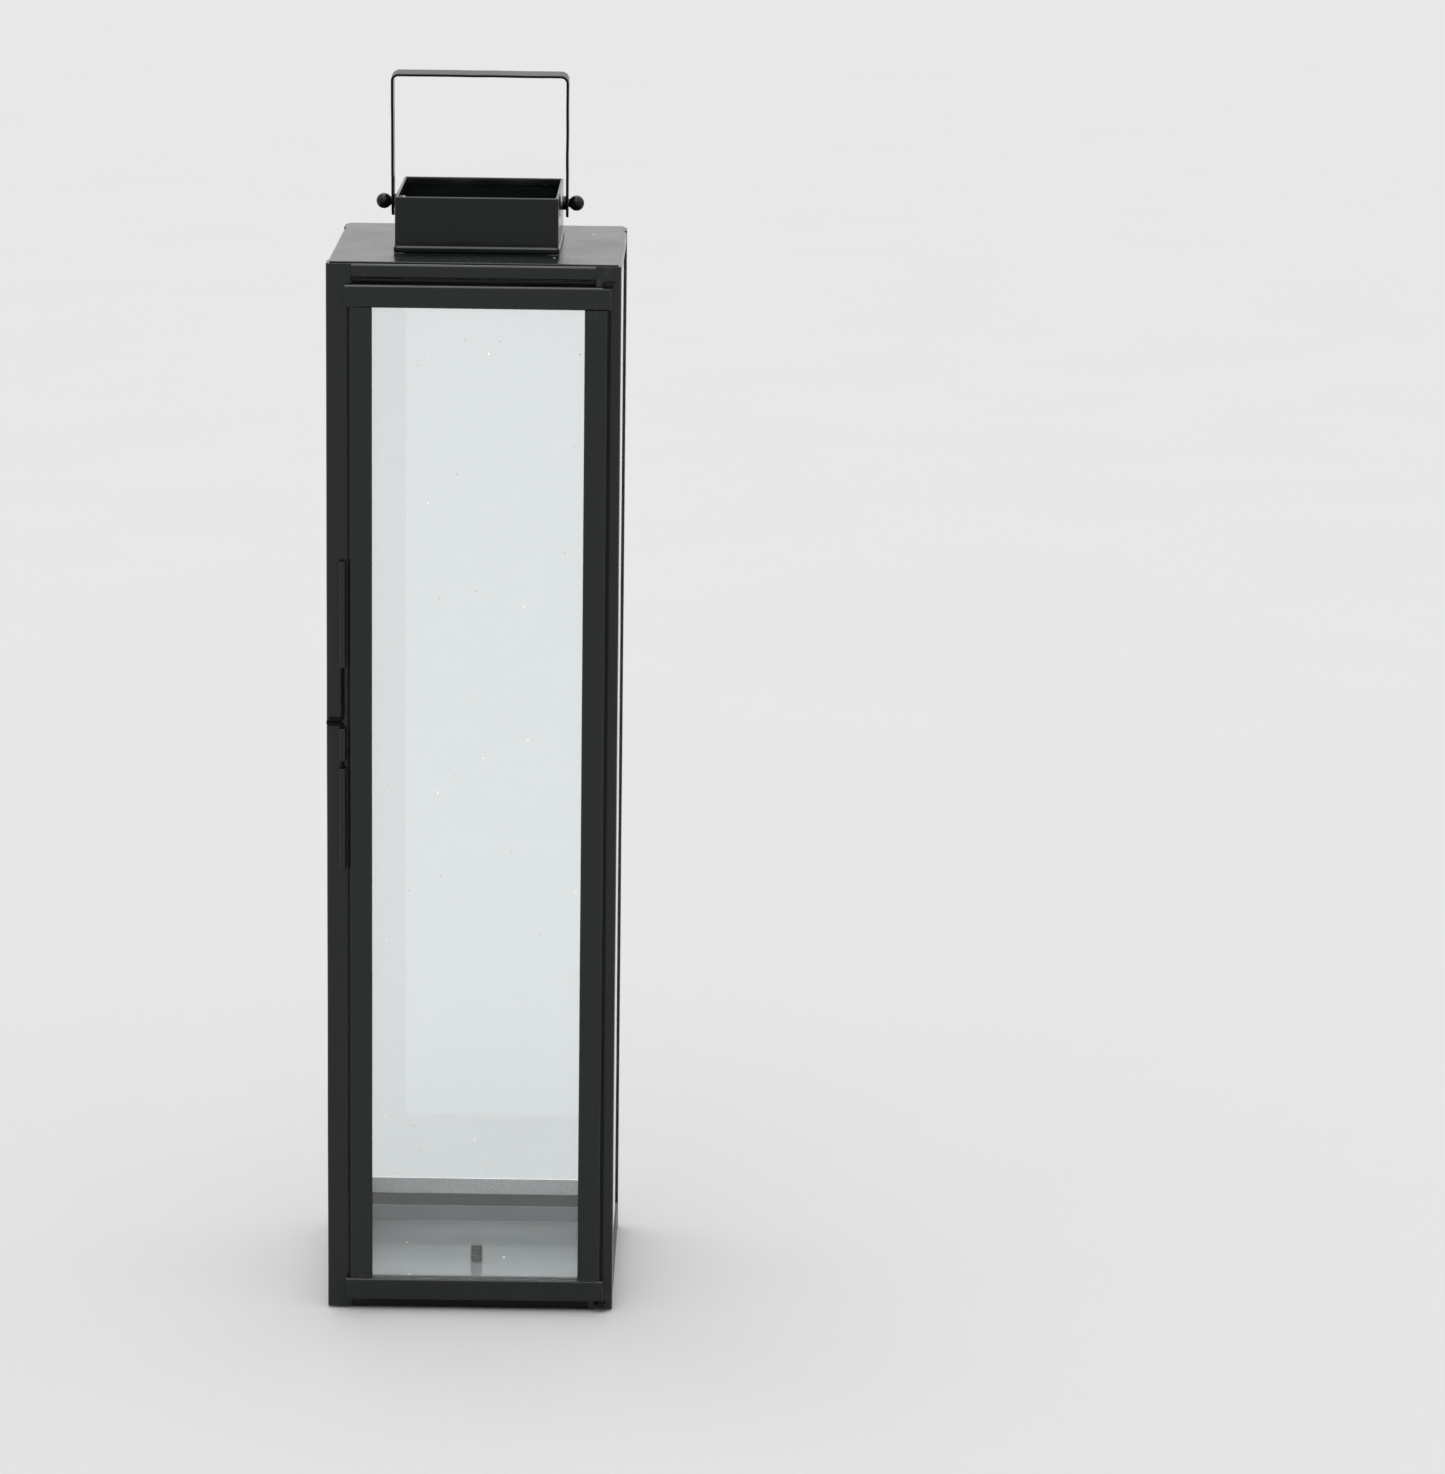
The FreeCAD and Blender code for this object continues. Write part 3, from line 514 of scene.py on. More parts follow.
class Recipe:
    """A material's nodes, added one at a time."""

    def __init__(self, name):
        self.material = bpy.data.materials.new(name)
        self.material.use_nodes = True
        self.tree = self.material.node_tree
        self.tree.nodes.clear()
        self.place = self.add("TexCoord").outputs["Object"]

    def add(self, kind, inputs=None, **settings):
        node = self.tree.nodes.new("ShaderNode" + kind)
        for key, value in settings.items():
            setattr(node, key, value)
        for key, value in (inputs or {}).items():
            if isinstance(value, bpy.types.NodeSocket):
                self.tree.links.new(value, node.inputs[key])
            else:
                node.inputs[key].default_value = value
        return node

    def noise(self, scale, detail=3.0, roughness=0.5, stretch=None):
        """Noise between 0 and 1, scale per metre; stretch multiplies the rate along X, Y and Z."""
        place = self.place
        if stretch:
            place = self.add("Mapping", {"Vector": place, "Scale": stretch}).outputs["Vector"]
        inputs = {"Vector": place, "Scale": scale, "Detail": detail, "Roughness": roughness}
        return self.add("TexNoise", inputs).outputs["Fac"]

    def specks(self, scale, dimensions="3D"):
        """Distance to the nearest of many scattered points, scale per metre."""
        inputs = {"Vector": self.place, "Scale": scale}
        return self.add("TexVoronoi", inputs, voronoi_dimensions=dimensions).outputs["Distance"]

    def between(self, value, low, high, to_low=0.0, to_high=1.0):
        """value moved from low..high to to_low..to_high, and kept there."""
        inputs = {"Value": value, "From Min": low, "From Max": high, "To Min": to_low, "To Max": to_high}
        return self.add("MapRange", inputs).outputs["Result"]

    def math(self, operation, a, b):
        return self.add("Math", {0: a, 1: b}, operation=operation).outputs["Value"]

    def sum(self, a, b):
        return self.math("ADD", a, b)

    def times(self, a, b):
        return self.math("MULTIPLY", a, b)

    def blend(self, share, a, b):
        """Colour a where share is 0, b where it is 1."""
        node = self.add("Mix", data_type="RGBA")
        for index, value in ((0, share), (6, a), (7, b)):
            if isinstance(value, bpy.types.NodeSocket):
                self.tree.links.new(value, node.inputs[index])
            else:
                node.inputs[index].default_value = (*value, 1.0) if index else value
        return node.outputs[2]

    def bump(self, height, depth, before=None):
        inputs = {"Height": height, "Distance": depth, "Strength": 1.0}
        if before:
            inputs["Normal"] = before
        return self.add("Bump", inputs).outputs["Normal"]

    def facing_up(self):
        """1 on faces that look up, 0 on walls and undersides."""
        normal = self.add("NewGeometry").outputs["Normal"]
        height = self.add("SeparateXYZ", {"Vector": normal}).outputs["Z"]
        return self.between(height, 0.6, 0.97)

    def surface(self, **inputs):
        """The Principled shader. Its inputs are written as words, such as base_color."""
        titled = {}
        for key, value in inputs.items():
            titled[key.replace("_", " ").title().replace("Ior", "IOR")] = value
        return self.add("BsdfPrincipled", titled).outputs["BSDF"]

    def done(self, shader=None, **inputs):
        """The material, from a shader or from the Principled shader's inputs."""
        self.add("OutputMaterial", {"Surface": shader or self.surface(**inputs)})
        return self.material


def painted_steel(name, dark, light, smooth, rough, gloss, hammered=0.035 * MM):
    """Sprayed black paint: orange peel, drifting sheen, worn sharp edges, dust where it faces up."""
    mix = Recipe(name)
    drift = mix.noise(17, 4.0, 0.55)
    streaks = mix.noise(30, 5.0, 0.6, stretch=(1.0, 1.0, 0.18))
    lint = mix.between(mix.noise(210, 8.0, 0.72), 0.53, 0.72)
    dust = mix.times(mix.times(lint, mix.facing_up()), 0.15)
    crumb = mix.times(mix.between(mix.specks(11.0, "2D"), 0.011, 0.007), mix.facing_up())
    edge = mix.add("NewGeometry").outputs["Pointiness"]
    patches = mix.between(mix.noise(120, 6.0, 0.7), 0.45, 0.7)
    worn = mix.times(mix.between(edge, 0.55, 0.66), patches)
    colour = mix.blend(drift, dark, light)
    colour = mix.blend(mix.times(worn, 0.5), colour, BARE_STEEL)
    colour = mix.blend(dust, colour, DUST)
    colour = mix.blend(crumb, colour, CRUMB)
    sheen = mix.between(mix.sum(drift, streaks), 0.7, 1.3, smooth, rough)
    sheen = mix.sum(sheen, mix.times(mix.sum(dust, crumb), 0.45))
    peel = mix.bump(mix.noise(420, 1.0), 0.0035 * MM)
    hammer = mix.bump(mix.noise(38, 1.5, 0.4), hammered, peel)
    return mix.done(base_color=colour, roughness=sheen, normal=hammer, specular_ior_level=gloss, ior=1.5)


def glossy_enamel(name):
    """Dipped enamel on the turned pieces: deep black, with a few runs and a thin film of dust."""
    mix = Recipe(name)
    drift = mix.noise(240, 4.0, 0.6)
    dust = mix.times(mix.between(mix.noise(900, 6.0, 0.7), 0.55, 0.75), mix.facing_up())
    colour = mix.blend(drift, (0.003, 0.003, 0.0035), (0.006, 0.006, 0.007))
    colour = mix.blend(mix.times(dust, 0.05), colour, DUST)
    sheen = mix.sum(mix.between(drift, 0.3, 0.7, 0.16, 0.26), mix.times(dust, 0.3))
    runs = mix.bump(mix.noise(420, 2.0, 0.4), 0.03 * MM)
    return mix.done(base_color=colour, roughness=sheen, normal=runs,
                    coat_weight=0.12, coat_roughness=0.08, specular_ior_level=0.12)


def zinc_plate(name, bright, dull, rust):
    """Dull zinc plate: blotchy, finely scratched, with a little brown where it has worn through."""
    mix = Recipe(name)
    blotch = mix.noise(600, 6.0, 0.65)
    scratch = mix.noise(2600, 3.0, 0.6, stretch=(0.12, 1.0, 1.0))
    colour = mix.blend(mix.between(blotch, 0.35, 0.65), dull, bright)
    stain = mix.times(mix.between(mix.noise(330, 8.0, 0.7), 0.50, 0.66), rust)
    colour = mix.blend(stain, colour, RUST)
    sheen = mix.sum(mix.between(blotch, 0.3, 0.7, 0.34, 0.52), mix.times(stain, 0.3))
    metal = mix.between(stain, 0.0, 1.0, 1.0, 0.2)
    marks = mix.bump(scratch, 0.006 * MM)
    return mix.done(base_color=colour, roughness=sheen, metallic=metal, normal=marks)


def blackened_and_shaded_wire(name):
    """Blackened steel wire: almost matt, with drawing lines and a little brown. Its near-black colour is
    also painted shade, for the shadow the wire hangs in beside the post.
    """
    mix = Recipe(name)
    blotch = mix.noise(500, 6.0, 0.65)
    brown = mix.between(blotch, 0.35, 0.65)
    colour = mix.blend(brown, (0.0020, 0.0020, 0.0021), (0.0048, 0.0044, 0.0040))
    sheen = mix.between(blotch, 0.3, 0.7, 0.38, 0.55)
    lines = mix.bump(mix.noise(2600, 3.0, 0.6, stretch=(1.0, 1.0, 0.05)), 0.008 * MM)
    return mix.done(base_color=colour, roughness=sheen, normal=lines, specular_ior_level=0.05)


def float_glass(name):
    """Clear glass with a faint green tint, that lets lamps through to what is behind it."""
    mix = Recipe(name)
    tint = mix.blend(mix.noise(9, 2.0), (0.932, 0.956, 0.959), (0.940, 0.962, 0.964))
    ripple = mix.bump(mix.noise(13, 2.0, 0.4), 0.03 * MM)
    film = mix.between(mix.noise(60, 7.0, 0.65), 0.35, 0.7, 0.985, 0.970)
    lint = mix.between(mix.specks(40.0), 0.034, 0.022)
    clean = mix.times(film, mix.math("SUBTRACT", 1.0, lint))
    glass = mix.surface(base_color=tint, roughness=0.0, ior=1.5, normal=ripple, transmission_weight=clean)
    clear = mix.add("BsdfTransparent", {"Color": (0.93, 0.95, 0.945, 1.0)}).outputs["BSDF"]
    lamp_ray = mix.add("LightPath").outputs["Is Shadow Ray"]
    mixed = mix.add("MixShader", {0: lamp_ray, 1: glass, 2: clear}).outputs["Shader"]
    return mix.done(mixed)


def moulded_rubber(name):
    """Matt rubber with a fine moulded grain and pale bloom."""
    mix = Recipe(name)
    bloom = mix.between(mix.noise(350, 6.0, 0.65), 0.45, 0.75)
    colour = mix.blend(bloom, (0.014, 0.014, 0.014), (0.038, 0.037, 0.036))
    grain = mix.bump(mix.noise(2200, 3.0, 0.6), 0.02 * MM)
    sheen = mix.between(bloom, 0, 1, 0.72, 0.9)
    return mix.done(base_color=colour, roughness=sheen, normal=grain, specular_ior_level=0.3)


def studio_paper(name):
    """Pale seamless paper."""
    mix = Recipe(name)
    colour = mix.blend(mix.noise(3.0, 3.0), (PAPER,) * 3, (1.02 * PAPER,) * 3)
    tooth = mix.bump(mix.noise(500, 3.0), 0.02 * MM)
    return mix.done(base_color=colour, roughness=0.9, normal=tooth, specular_ior_level=0.1)


# ---- finishes: a finish is (slot, material) ----

PAINT = ("black_paint", painted_steel(
    "satin_black_paint", dark=(0.0042, 0.0056, 0.0058), light=(0.0070, 0.0088, 0.0090),
    smooth=0.16, rough=0.25, gloss=0.33))
# a grey version of the black paint on the floor pan, much lighter than the rest of the lantern
FLOOR_PAINT = ("black_paint", painted_steel(
    "grey_floor_paint", dark=(0.112, 0.119, 0.122), light=(0.132, 0.139, 0.142),
    smooth=0.11, rough=0.16, gloss=0.42, hammered=0.015 * MM))
# a darker, duller copy of the satin paint: painted shade for the dim reflections on the chimney walls
CHIMNEY_SHADE_PAINT = ("black_paint", painted_steel(
    "chimney_shaded_black_paint", dark=(0.0032, 0.0044, 0.0046), light=(0.0056, 0.0072, 0.0074),
    smooth=0.14, rough=0.22, gloss=0.24))
STRAP_PAINT = ("black_paint", painted_steel(
    "deep_black_paint", dark=(0.0020, 0.0024, 0.0025), light=(0.0036, 0.0042, 0.0044),
    smooth=0.18, rough=0.28, gloss=0.12))
# a darker, duller copy of the black paint: painted shade on the bottom rails, the door stiles' flanges and
# the hinge lugs, which lie in shadow
SHADE_MATT_PAINT = ("black_paint", painted_steel(
    "matt_black_painted_shade", dark=(0.0020, 0.0026, 0.0027), light=(0.0034, 0.0042, 0.0044),
    smooth=0.30, rough=0.42, gloss=0.14))
ENAMEL = ("gloss_black_metal", glossy_enamel("gloss_black_enamel"))
ZINC = ("zinc_steel", zinc_plate(
    "zinc_plate", bright=(0.56, 0.56, 0.55), dull=(0.33, 0.33, 0.33), rust=0.25))
DARK_ZINC = ("zinc_steel", zinc_plate(
    "dark_zinc", bright=(0.020, 0.020, 0.019), dull=(0.008, 0.008, 0.008), rust=0.2))
STRIP_ZINC = ("zinc_steel", zinc_plate(
    "strip_zinc", bright=(0.78, 0.79, 0.79), dull=(0.60, 0.61, 0.61), rust=0.05))
# blackened wire, made darker still as painted shade
WIRE = ("dark_wire", blackened_and_shaded_wire("black_shaded_wire"))
GLASS = ("clear_glass", float_glass("float_glass"))
RUBBER = ("black_rubber", moulded_rubber("moulded_rubber"))


# ---- frame ----

def corner_angles(prefix, sheet, radius, arc_steps):
    """A folded angle in each corner. Its legs' length is read from the front left one."""
    low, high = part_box(prefix + "_front_left")
    line = low.x + sheet / 2
    path = fold_path([(high.x, line), (line, line), (line, high.x)], radius, arc_steps)
    shape = extruded(sheet_outline(path, sheet), low.z, high.z)
    for quarter, corner in enumerate(CORNERS):
        stand_in(prefix + "_" + corner, folded_by_hand(shape, quarter), PAINT)


def rail(low, high, upper, lower):
    """A folded channel. Its top flange reaches in to upper and its bottom one follows the points of lower.
    It lies a hair behind the posts' faces, so that the welded seams show."""
    face = -HALF + SHEET / 2
    top = high.z - SHEET / 2
    bottom = low.z + SHEET / 2
    path = fold_path([(upper, top), (face, top), (face, bottom)] + lower, FRAME_FOLD, 8)
    shape = moved(extruded(sheet_outline(path, SHEET), low.x, high.x), ALONG_X)
    return moved(shape, shift(0, SEAM_STEP, 0))


def rails():
    """Top and bottom rails. The front top rail also has a stop that hangs behind the door."""
    low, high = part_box("top_rail_left")
    front_low, front_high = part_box("top_rail_front")
    low.x = front_low.x
    high.x = front_high.x
    shelf = -HALF + TOP_RAIL_SHELF
    lip = -HALF + TOP_RAIL_LIP
    stop = lip - SHEET / 2
    bottom = low.z + SHEET / 2
    plain = rail(low, high, shelf, [(lip, bottom)])
    with_stop = rail(low, high, shelf, [(stop, bottom), (stop, front_low.z)])
    low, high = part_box("bottom_rail_front")
    foot = rail(low, high, -HALF + BOTTOM_RAIL_LIP, [(-HALF + BOTTOM_RAIL_SHELF, low.z + SHEET / 2)])
    for quarter, side in enumerate(SIDES):
        upper = with_stop if side == "front" else plain
        stand_in("top_rail_" + side, folded_by_hand(upper, quarter), PAINT)
        # the bottom rails take the darker matt paint: painted shade for the shadow at the lantern's foot
        stand_in("bottom_rail_" + side, folded_by_hand(foot, quarter), SHADE_MATT_PAINT)


def dented(point, depth=DENT):
    """Slow dents in a level sheet, with small ones over them."""
    slow = noise.noise(Vector((point.x * DENT_RATE, point.y * DENT_RATE, 2.7)))
    small = noise.noise(Vector((point.x * SMALL_DENT_RATE, point.y * SMALL_DENT_RATE, 8.1)))
    return point + Vector((0, 0, depth * (slow + 0.4 * small)))


def roof_plate():
    """Square plate with a square vent and a rolled rim."""
    low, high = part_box("roof_plate")
    half = high.x
    rim = half - ROOF_ROLL
    vent = VENT_HALF + CUT_EASE
    steps = 15
    top = [vent + (rim - VENT_HALF - CUT_EASE) * k / steps for k in range(steps + 1)]
    loops = [(VENT_HALF, low.z + CUT_EASE), (VENT_HALF, high.z - CUT_EASE)]
    loops += [(out, high.z) for out in top]
    loops += profile_arc((rim, high.z - ROOF_ROLL), ROOF_ROLL, 60, 0, 3)
    loops += [(half, low.z + CUT_EASE), (half - CUT_EASE, low.z)]
    loops += [(out, low.z) for out in reversed(top[1:-1])]
    loops += [(vent, low.z)]
    rows = []
    for out, z in loops:
        share = (out - VENT_HALF) / (half - VENT_HALF)
        rows.append(rounded_square(out, VENT_CORNER + (ROOF_CORNER - VENT_CORNER) * share, z))
    shape = moved(skinned(rows, ring=True), about_axis(0))
    stand_in("roof_plate", reshaped(shape, dented), PAINT)


def floor_pan():
    """Tray with low lips: its loops are round at the stud's hole and square from half way out."""
    low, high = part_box("floor_pan")
    half = high.x
    hole = STUD_CORE + STUD_FIT
    flat = half - PAN_FOLD
    steps = 16
    outs = [hole + (flat - hole) * (k / steps) ** 1.3 for k in range(steps + 1)]
    inner_fold = PAN_FOLD - PAN_SHEET
    floor = low.z + PAN_SHEET
    loops = [(out, low.z) for out in outs]
    loops += profile_arc((flat, low.z + PAN_FOLD), PAN_FOLD, -72, 0, 4)
    loops += [(half, high.z - CUT_EASE), (half - CUT_EASE, high.z)]
    loops += [(half - PAN_SHEET + CUT_EASE, high.z), (half - PAN_SHEET, high.z - CUT_EASE)]
    loops += profile_arc((flat, floor + inner_fold), inner_fold, 0, -72, 4)
    loops += [(out, floor) for out in reversed(outs)]
    rows = []
    for out, z in loops:
        share = min(1, (out - hole) / (0.5 * half))
        square = rounded_square(out, min(PAN_CORNER, 0.6 * out), z)
        rows.append(rounder(square, share * share * (3 - 2 * share)))
    shape = moved(skinned(rows, ring=True), about_axis(0))
    stand_in("floor_pan", reshaped(shape, lambda point: dented(point, 0.3 * DENT)), FLOOR_PAINT)


def candle_stud():
    """Rolled thread on a plain core, over a low rivet head."""
    low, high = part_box("candle_stud")
    shoulder = low.z + STUD_HEAD_HEIGHT
    foot = shoulder + PAN_SHEET
    head = [(STUD_HEAD * 0.5, low.z), (STUD_HEAD - 0.5 * MM, low.z + 0.15 * MM),
            (STUD_HEAD, low.z + 0.5 * MM), (STUD_HEAD, shoulder),
            (STUD_CORE, shoulder), (STUD_CORE, foot)]
    rows_per_turn = 14
    segments = 48
    steps = round((high.z - foot) / STUD_PITCH * rows_per_turn)
    rows = turned_profile(head, segments)[0]
    rows = [rows[k * segments:(k + 1) * segments] for k in range(len(head))]
    for k in range(1, steps + 1):
        z = foot + (high.z - foot) * k / steps
        below_tip = high.z - z
        fade = min(1, (z - foot) / THREAD_RUN_IN, below_tip / THREAD_RUN_OUT)
        core = STUD_CORE - max(0, STUD_TIP - below_tip) * 0.7
        row = []
        for j in range(segments):
            angle = 2 * pi * j / segments
            phase = ((z - foot) / STUD_PITCH - j / segments) % 1
            ridge = min(1, max(0, 1.5 - abs(phase - 0.5) * 5))
            wear = 0.85 + 0.3 * noise.noise(Vector((angle * 2, z * 900, 4)))
            radius = core + (STUD_CREST - STUD_CORE) * ridge * fade * min(1, wear)
            row.append(around(radius, angle, z))
        rows.append(row)
    stand_in("candle_stud", moved(skinned(rows), about_axis(0)), DARK_ZINC)


def rubber_feet():
    """Four round feet, each with a shallow dimple underneath."""
    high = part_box("rubber_feet")[1]
    edge = 0.7 * MM
    profile = [(0.6 * MM, 0.35 * MM), (1.8 * MM, 0.30 * MM), (2.3 * MM, 0.05 * MM), (2.6 * MM, 0.0)]
    profile += profile_arc((RUBBER_RADIUS - edge, edge), edge, -90, 0, 5)
    profile += [(RUBBER_RADIUS, high.z - 0.3 * MM), (RUBBER_RADIUS - 0.3 * MM, high.z), (0.6 * MM, high.z)]
    foot = turned_profile(profile, 48)
    place = high.x - RUBBER_RADIUS
    feet = [moved(foot, about_axis(quarter) @ shift(-place, -place, 0)) for quarter in range(4)]
    stand_in("rubber_feet", joined(feet), RUBBER)


# ---- chimney ----

def wall_outline(low, high):
    """Section of a chimney wall, as (distance from the axis, height): bead at the foot, hem at the rim."""
    line = -low.y + AXIS_Y - BEAD_PROUD - CHIMNEY_SHEET / 2
    rim = high.z - CHIMNEY_SHEET / 2
    hem = line - 2 * CHIMNEY_FOLD
    proud = line + BEAD_PROUD
    bead = [(out, low.z + up) for out, up in zip((line, proud, proud, line), BEAD_HEIGHTS)]
    corners = [(line, low.z)] + bead + [(line, rim), (hem, rim), (hem, high.z - HEM_DEPTH)]
    return sheet_outline(fold_path(corners, CHIMNEY_FOLD, 4, 2.5 * MM), CHIMNEY_SHEET)


def bolt_hole(low, quarter):
    """What is cut from a side wall for its bolt."""
    radius = BOLT_RADIUS + BOLT_PLAY
    bore = turned_profile([(radius, 0), (radius, 3 * MM)], 40)
    into_wall = shift(0, low.y - AXIS_Y, PIVOT_Z) @ turn(-90, "X")
    return moved(bore, about_axis(quarter) @ into_wall)


def chimney_walls():
    """Each wall runs from mitre to mitre round half of each corner. It is slightly pillowed: outwards, but
    inwards at the back, and flat round the bolts."""
    low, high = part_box("chimney_wall_front")
    outline = wall_outline(low, high)
    corner_centre = -low.y + AXIS_Y - BEAD_PROUD - CHIMNEY_CORNER
    turns = [radians(-45 + 9 * k) for k in range(5)]
    steps = 34
    along = [(-1, turn) for turn in turns]
    along += [(-1 + 2 * k / steps, 0) for k in range(steps + 1)]
    along += [(1, -turn) for turn in reversed(turns)]
    for quarter, side in enumerate(SIDES):
        bolted = side in ("left", "right")
        way = -1 if side == "back" else 1
        rows = []
        for share, turn in along:
            row = []
            for out, z in outline:
                radius = max(out - corner_centre, CHIMNEY_CORNER_LEAST)
                straight = out - radius
                x = share * straight + radius * sin(turn)
                middle = cos(share * pi / 2) * sin(pi * (z - low.z) / (high.z - low.z))
                blotch = noise.noise(Vector((x * PILLOW_RATE, quarter * 7.3, z * PILLOW_RATE)))
                if bolted:
                    middle *= 1 - exp(-((x * x + (z - PIVOT_Z) ** 2) / FLAT_ROUND_BOLT ** 2))
                bulge = way * PILLOW * middle * (0.55 + 0.9 * blotch)
                row.append(Vector((x, -straight - radius * cos(turn) - bulge, z)))
            rows.append(row)
        hole = bolt_hole(low, quarter) if bolted else None
        # the walls take the darker chimney paint: painted shade
        stand_in("chimney_wall_" + side, moved(skinned(rows), about_axis(quarter)), CHIMNEY_SHADE_PAINT, hole)


def chimney_welds():
    """Small weld beads at the foot of each chimney corner."""
    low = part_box("chimney_wall_front")[0]
    reach = -low.y + AXIS_Y - BEAD_PROUD
    corner = Vector((-reach + 0.3 * MM, -reach + 0.3 * MM, low.z))
    beads = []
    for quarter in range(4):
        for run in (Vector((WELD_RUN, 0, 0)), Vector((0, WELD_RUN, 0))):
            proud = Vector((0, -0.5 * MM, 0)) if run.x else Vector((-0.5 * MM, 0, 0))
            start = corner + proud - run * 0.1
            bead = bead_of_weld(start, corner + proud + run, WELD_RADIUS, quarter + run.x)
            beads.append(moved(bead, about_axis(quarter)))
    extra("chimney_welds", "frame", joined(beads), PAINT)


# ---- glass ----

def panes():
    for node in ("glass_back", "glass_left", "glass_right", "door_glass"):
        low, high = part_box(node)
        outline = rectangle_outline(low, high, GLASS_EASE)
        stand_in(node, extruded(outline, low.z, high.z, 60 * MM, GLASS_EASE), GLASS)


def glazing_strips():
    """Flat bare strips along the foot of the three fixed panes."""
    low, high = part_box("glazing_strips")
    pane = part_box("glass_back")[0].y - AXIS_Y
    end = pane - RETAINER_LEG - STRIP_PLAY
    ease = 0.2 * MM
    outline = rectangle_outline((-pane, low.z), (-pane + RETAINER_SHEET, high.z), ease)
    strip = moved(extruded(outline, -end, end, 8 * MM, ease), ALONG_X)
    strips = [moved(strip, about_axis(quarter)) for quarter, side in enumerate(SIDES) if side != "front"]
    stand_in("glazing_strips", reshaped(joined(strips), strayed), STRIP_ZINC)


# ---- handle ----

def half_round(end):
    """Stations (point, normal, half width) along a half-round end of the strap, from its tip up."""
    point, normal = end
    half_width = STRAP_WIDTH / 2
    stations = []
    for angle in (7, 15, 24, 34, 45, 57, 70, 83):
        up = half_width * (1 - cos(radians(angle)))
        width = sqrt(half_width ** 2 - (half_width - up) ** 2)
        stations.append((point + Vector((0, up)), normal, width))
    return stations


def handle_strap():
    """Flat strap with rolled edges, bent to a bail, its ends half round and bored for the bolts."""
    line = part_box("handle_strap")[1].x - STRAP_THICK / 2
    top = STRAP_REACH - STRAP_THICK / 2
    path = fold_path([(-line, -STRAP_TAIL), (-line, top), (line, top), (line, -STRAP_TAIL)],
                     STRAP_CORNER, 10, 4 * MM)
    half_width = STRAP_WIDTH / 2
    body = [(point, normal, half_width) for point, normal in path if point.y > half_width - STRAP_TAIL]
    rows = []
    for k, (point, normal, width) in enumerate(half_round(path[0]) + body + half_round(path[-1])[::-1]):
        loop = rectangle_outline((-STRAP_THICK / 2, -width), (STRAP_THICK / 2, width),
                                 min(STRAP_EDGE, width * 0.5))
        if width == half_width and abs(point.y) > STRAP_TRUE:
            point = point + normal * (STRAP_WAVER * noise.noise(Vector((k * 0.21, 5.5, 0))))
        rows.append([Vector((point.x + normal.x * across, deep, point.y + normal.y * across))
                     for across, deep in loop])
    lean = shift(0, AXIS_Y, PIVOT_Z) @ turn(HANDLE_LEAN, "X")
    bore = turned_profile([(BOLT_RADIUS + RUNNING_FIT, -HALF), (BOLT_RADIUS + RUNNING_FIT, HALF)], 48)
    hole = moved(bore, lean @ turn(90, "Y"))
    stand_in("handle_strap", moved(skinned(rows), lean), STRAP_PAINT, hole)


def on_pivot(shape, side):
    """From a shape drawn about Z to the left or right pivot. Its height is the distance from the axis."""
    return moved(shape, shift(0, AXIS_Y, PIVOT_Z) @ turn(90 if side == "right" else -90, "Y"))


def pivot_rings(node, thickness, finish, ease):
    """A ring on each side, such as the washers or the spacers."""
    low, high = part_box(node)
    radius = (high.z - low.z) / 2
    profile = ring_profile(RING_BORE, radius, high.x - thickness, high.x, ease)
    ring = turned_profile(profile, 64, ring=True)
    stand_in(node, joined([on_pivot(ring, "left"), on_pivot(ring, "right")]), finish)


def pivot_bolts():
    """Chamfered hexagon head inside the chimney, plain shank out into the knob."""
    low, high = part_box("pivot_bolt_right")
    seat = low.x + BOLT_HEAD_HEIGHT
    segments = 72
    flat = BOLT_HEAD_FLATS / 2

    def row(circle, height, hexagonal):
        points = []
        for k in range(segments):
            angle = 2 * pi * k / segments
            sector = (angle + radians(30)) % radians(60) - radians(30)
            radius = min(circle, flat / cos(sector)) if hexagonal else circle
            points.append(around(radius, angle, height))
        return points

    corner = flat / cos(radians(30))
    chamfer = flat * 0.98
    rows = [row(flat * 0.55, low.x + 0.05 * MM, False), row(flat * 0.92, low.x, True)]
    for k in range(5):
        rows.append(row(chamfer + (corner - chamfer) * k / 4, low.x + 0.12 * MM * (k + 1), True))
    rows += [row(corner, seat - 0.2 * MM, True), row(corner * 0.97, seat, True)]
    rows += [row(BOLT_RADIUS + 0.2 * MM, seat, False), row(BOLT_RADIUS, seat + 0.2 * MM, False)]
    rows += [row(BOLT_RADIUS, high.x - 0.4 * MM, False), row(BOLT_RADIUS - 0.4 * MM, high.x, False)]
    bolt = skinned(rows)
    for side in ("left", "right"):
        stand_in("pivot_bolt_" + side, on_pivot(bolt, side), ZINC)


def ball_knobs():
    """A ball that flares into a short neck, bored for the bolt."""
    low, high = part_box("ball_knob_right")
    centre = high.x - KNOB_RADIUS
    bore_end = centre + KNOB_BORE_END
    edge = 0.25 * MM
    profile = [(0.3 * MM, bore_end), (RING_BORE, bore_end)]
    profile += [(RING_BORE, low.x + 0.2 * MM), (RING_BORE + 0.2 * MM, low.x)]
    profile += profile_arc((KNOB_NECK - edge, low.x + edge), edge, -90, 0, 4)
    ball = profile_arc((0, centre), KNOB_RADIUS, -53, 88, 36)
    start = Vector(ball[0])
    neck_end = Vector(profile[-1])
    waist = Vector((KNOB_NECK, low.x + 0.75 * MM))
    for k in range(1, 5):
        share = k / 5
        profile.append(tuple(neck_end.lerp(waist, share).lerp(waist.lerp(start, share), share)))
    knob = turned_profile(profile + ball, 72)
    for side in ("left", "right"):
        stand_in("ball_knob_" + side, on_pivot(knob, side), ENAMEL)


# ---- door ----

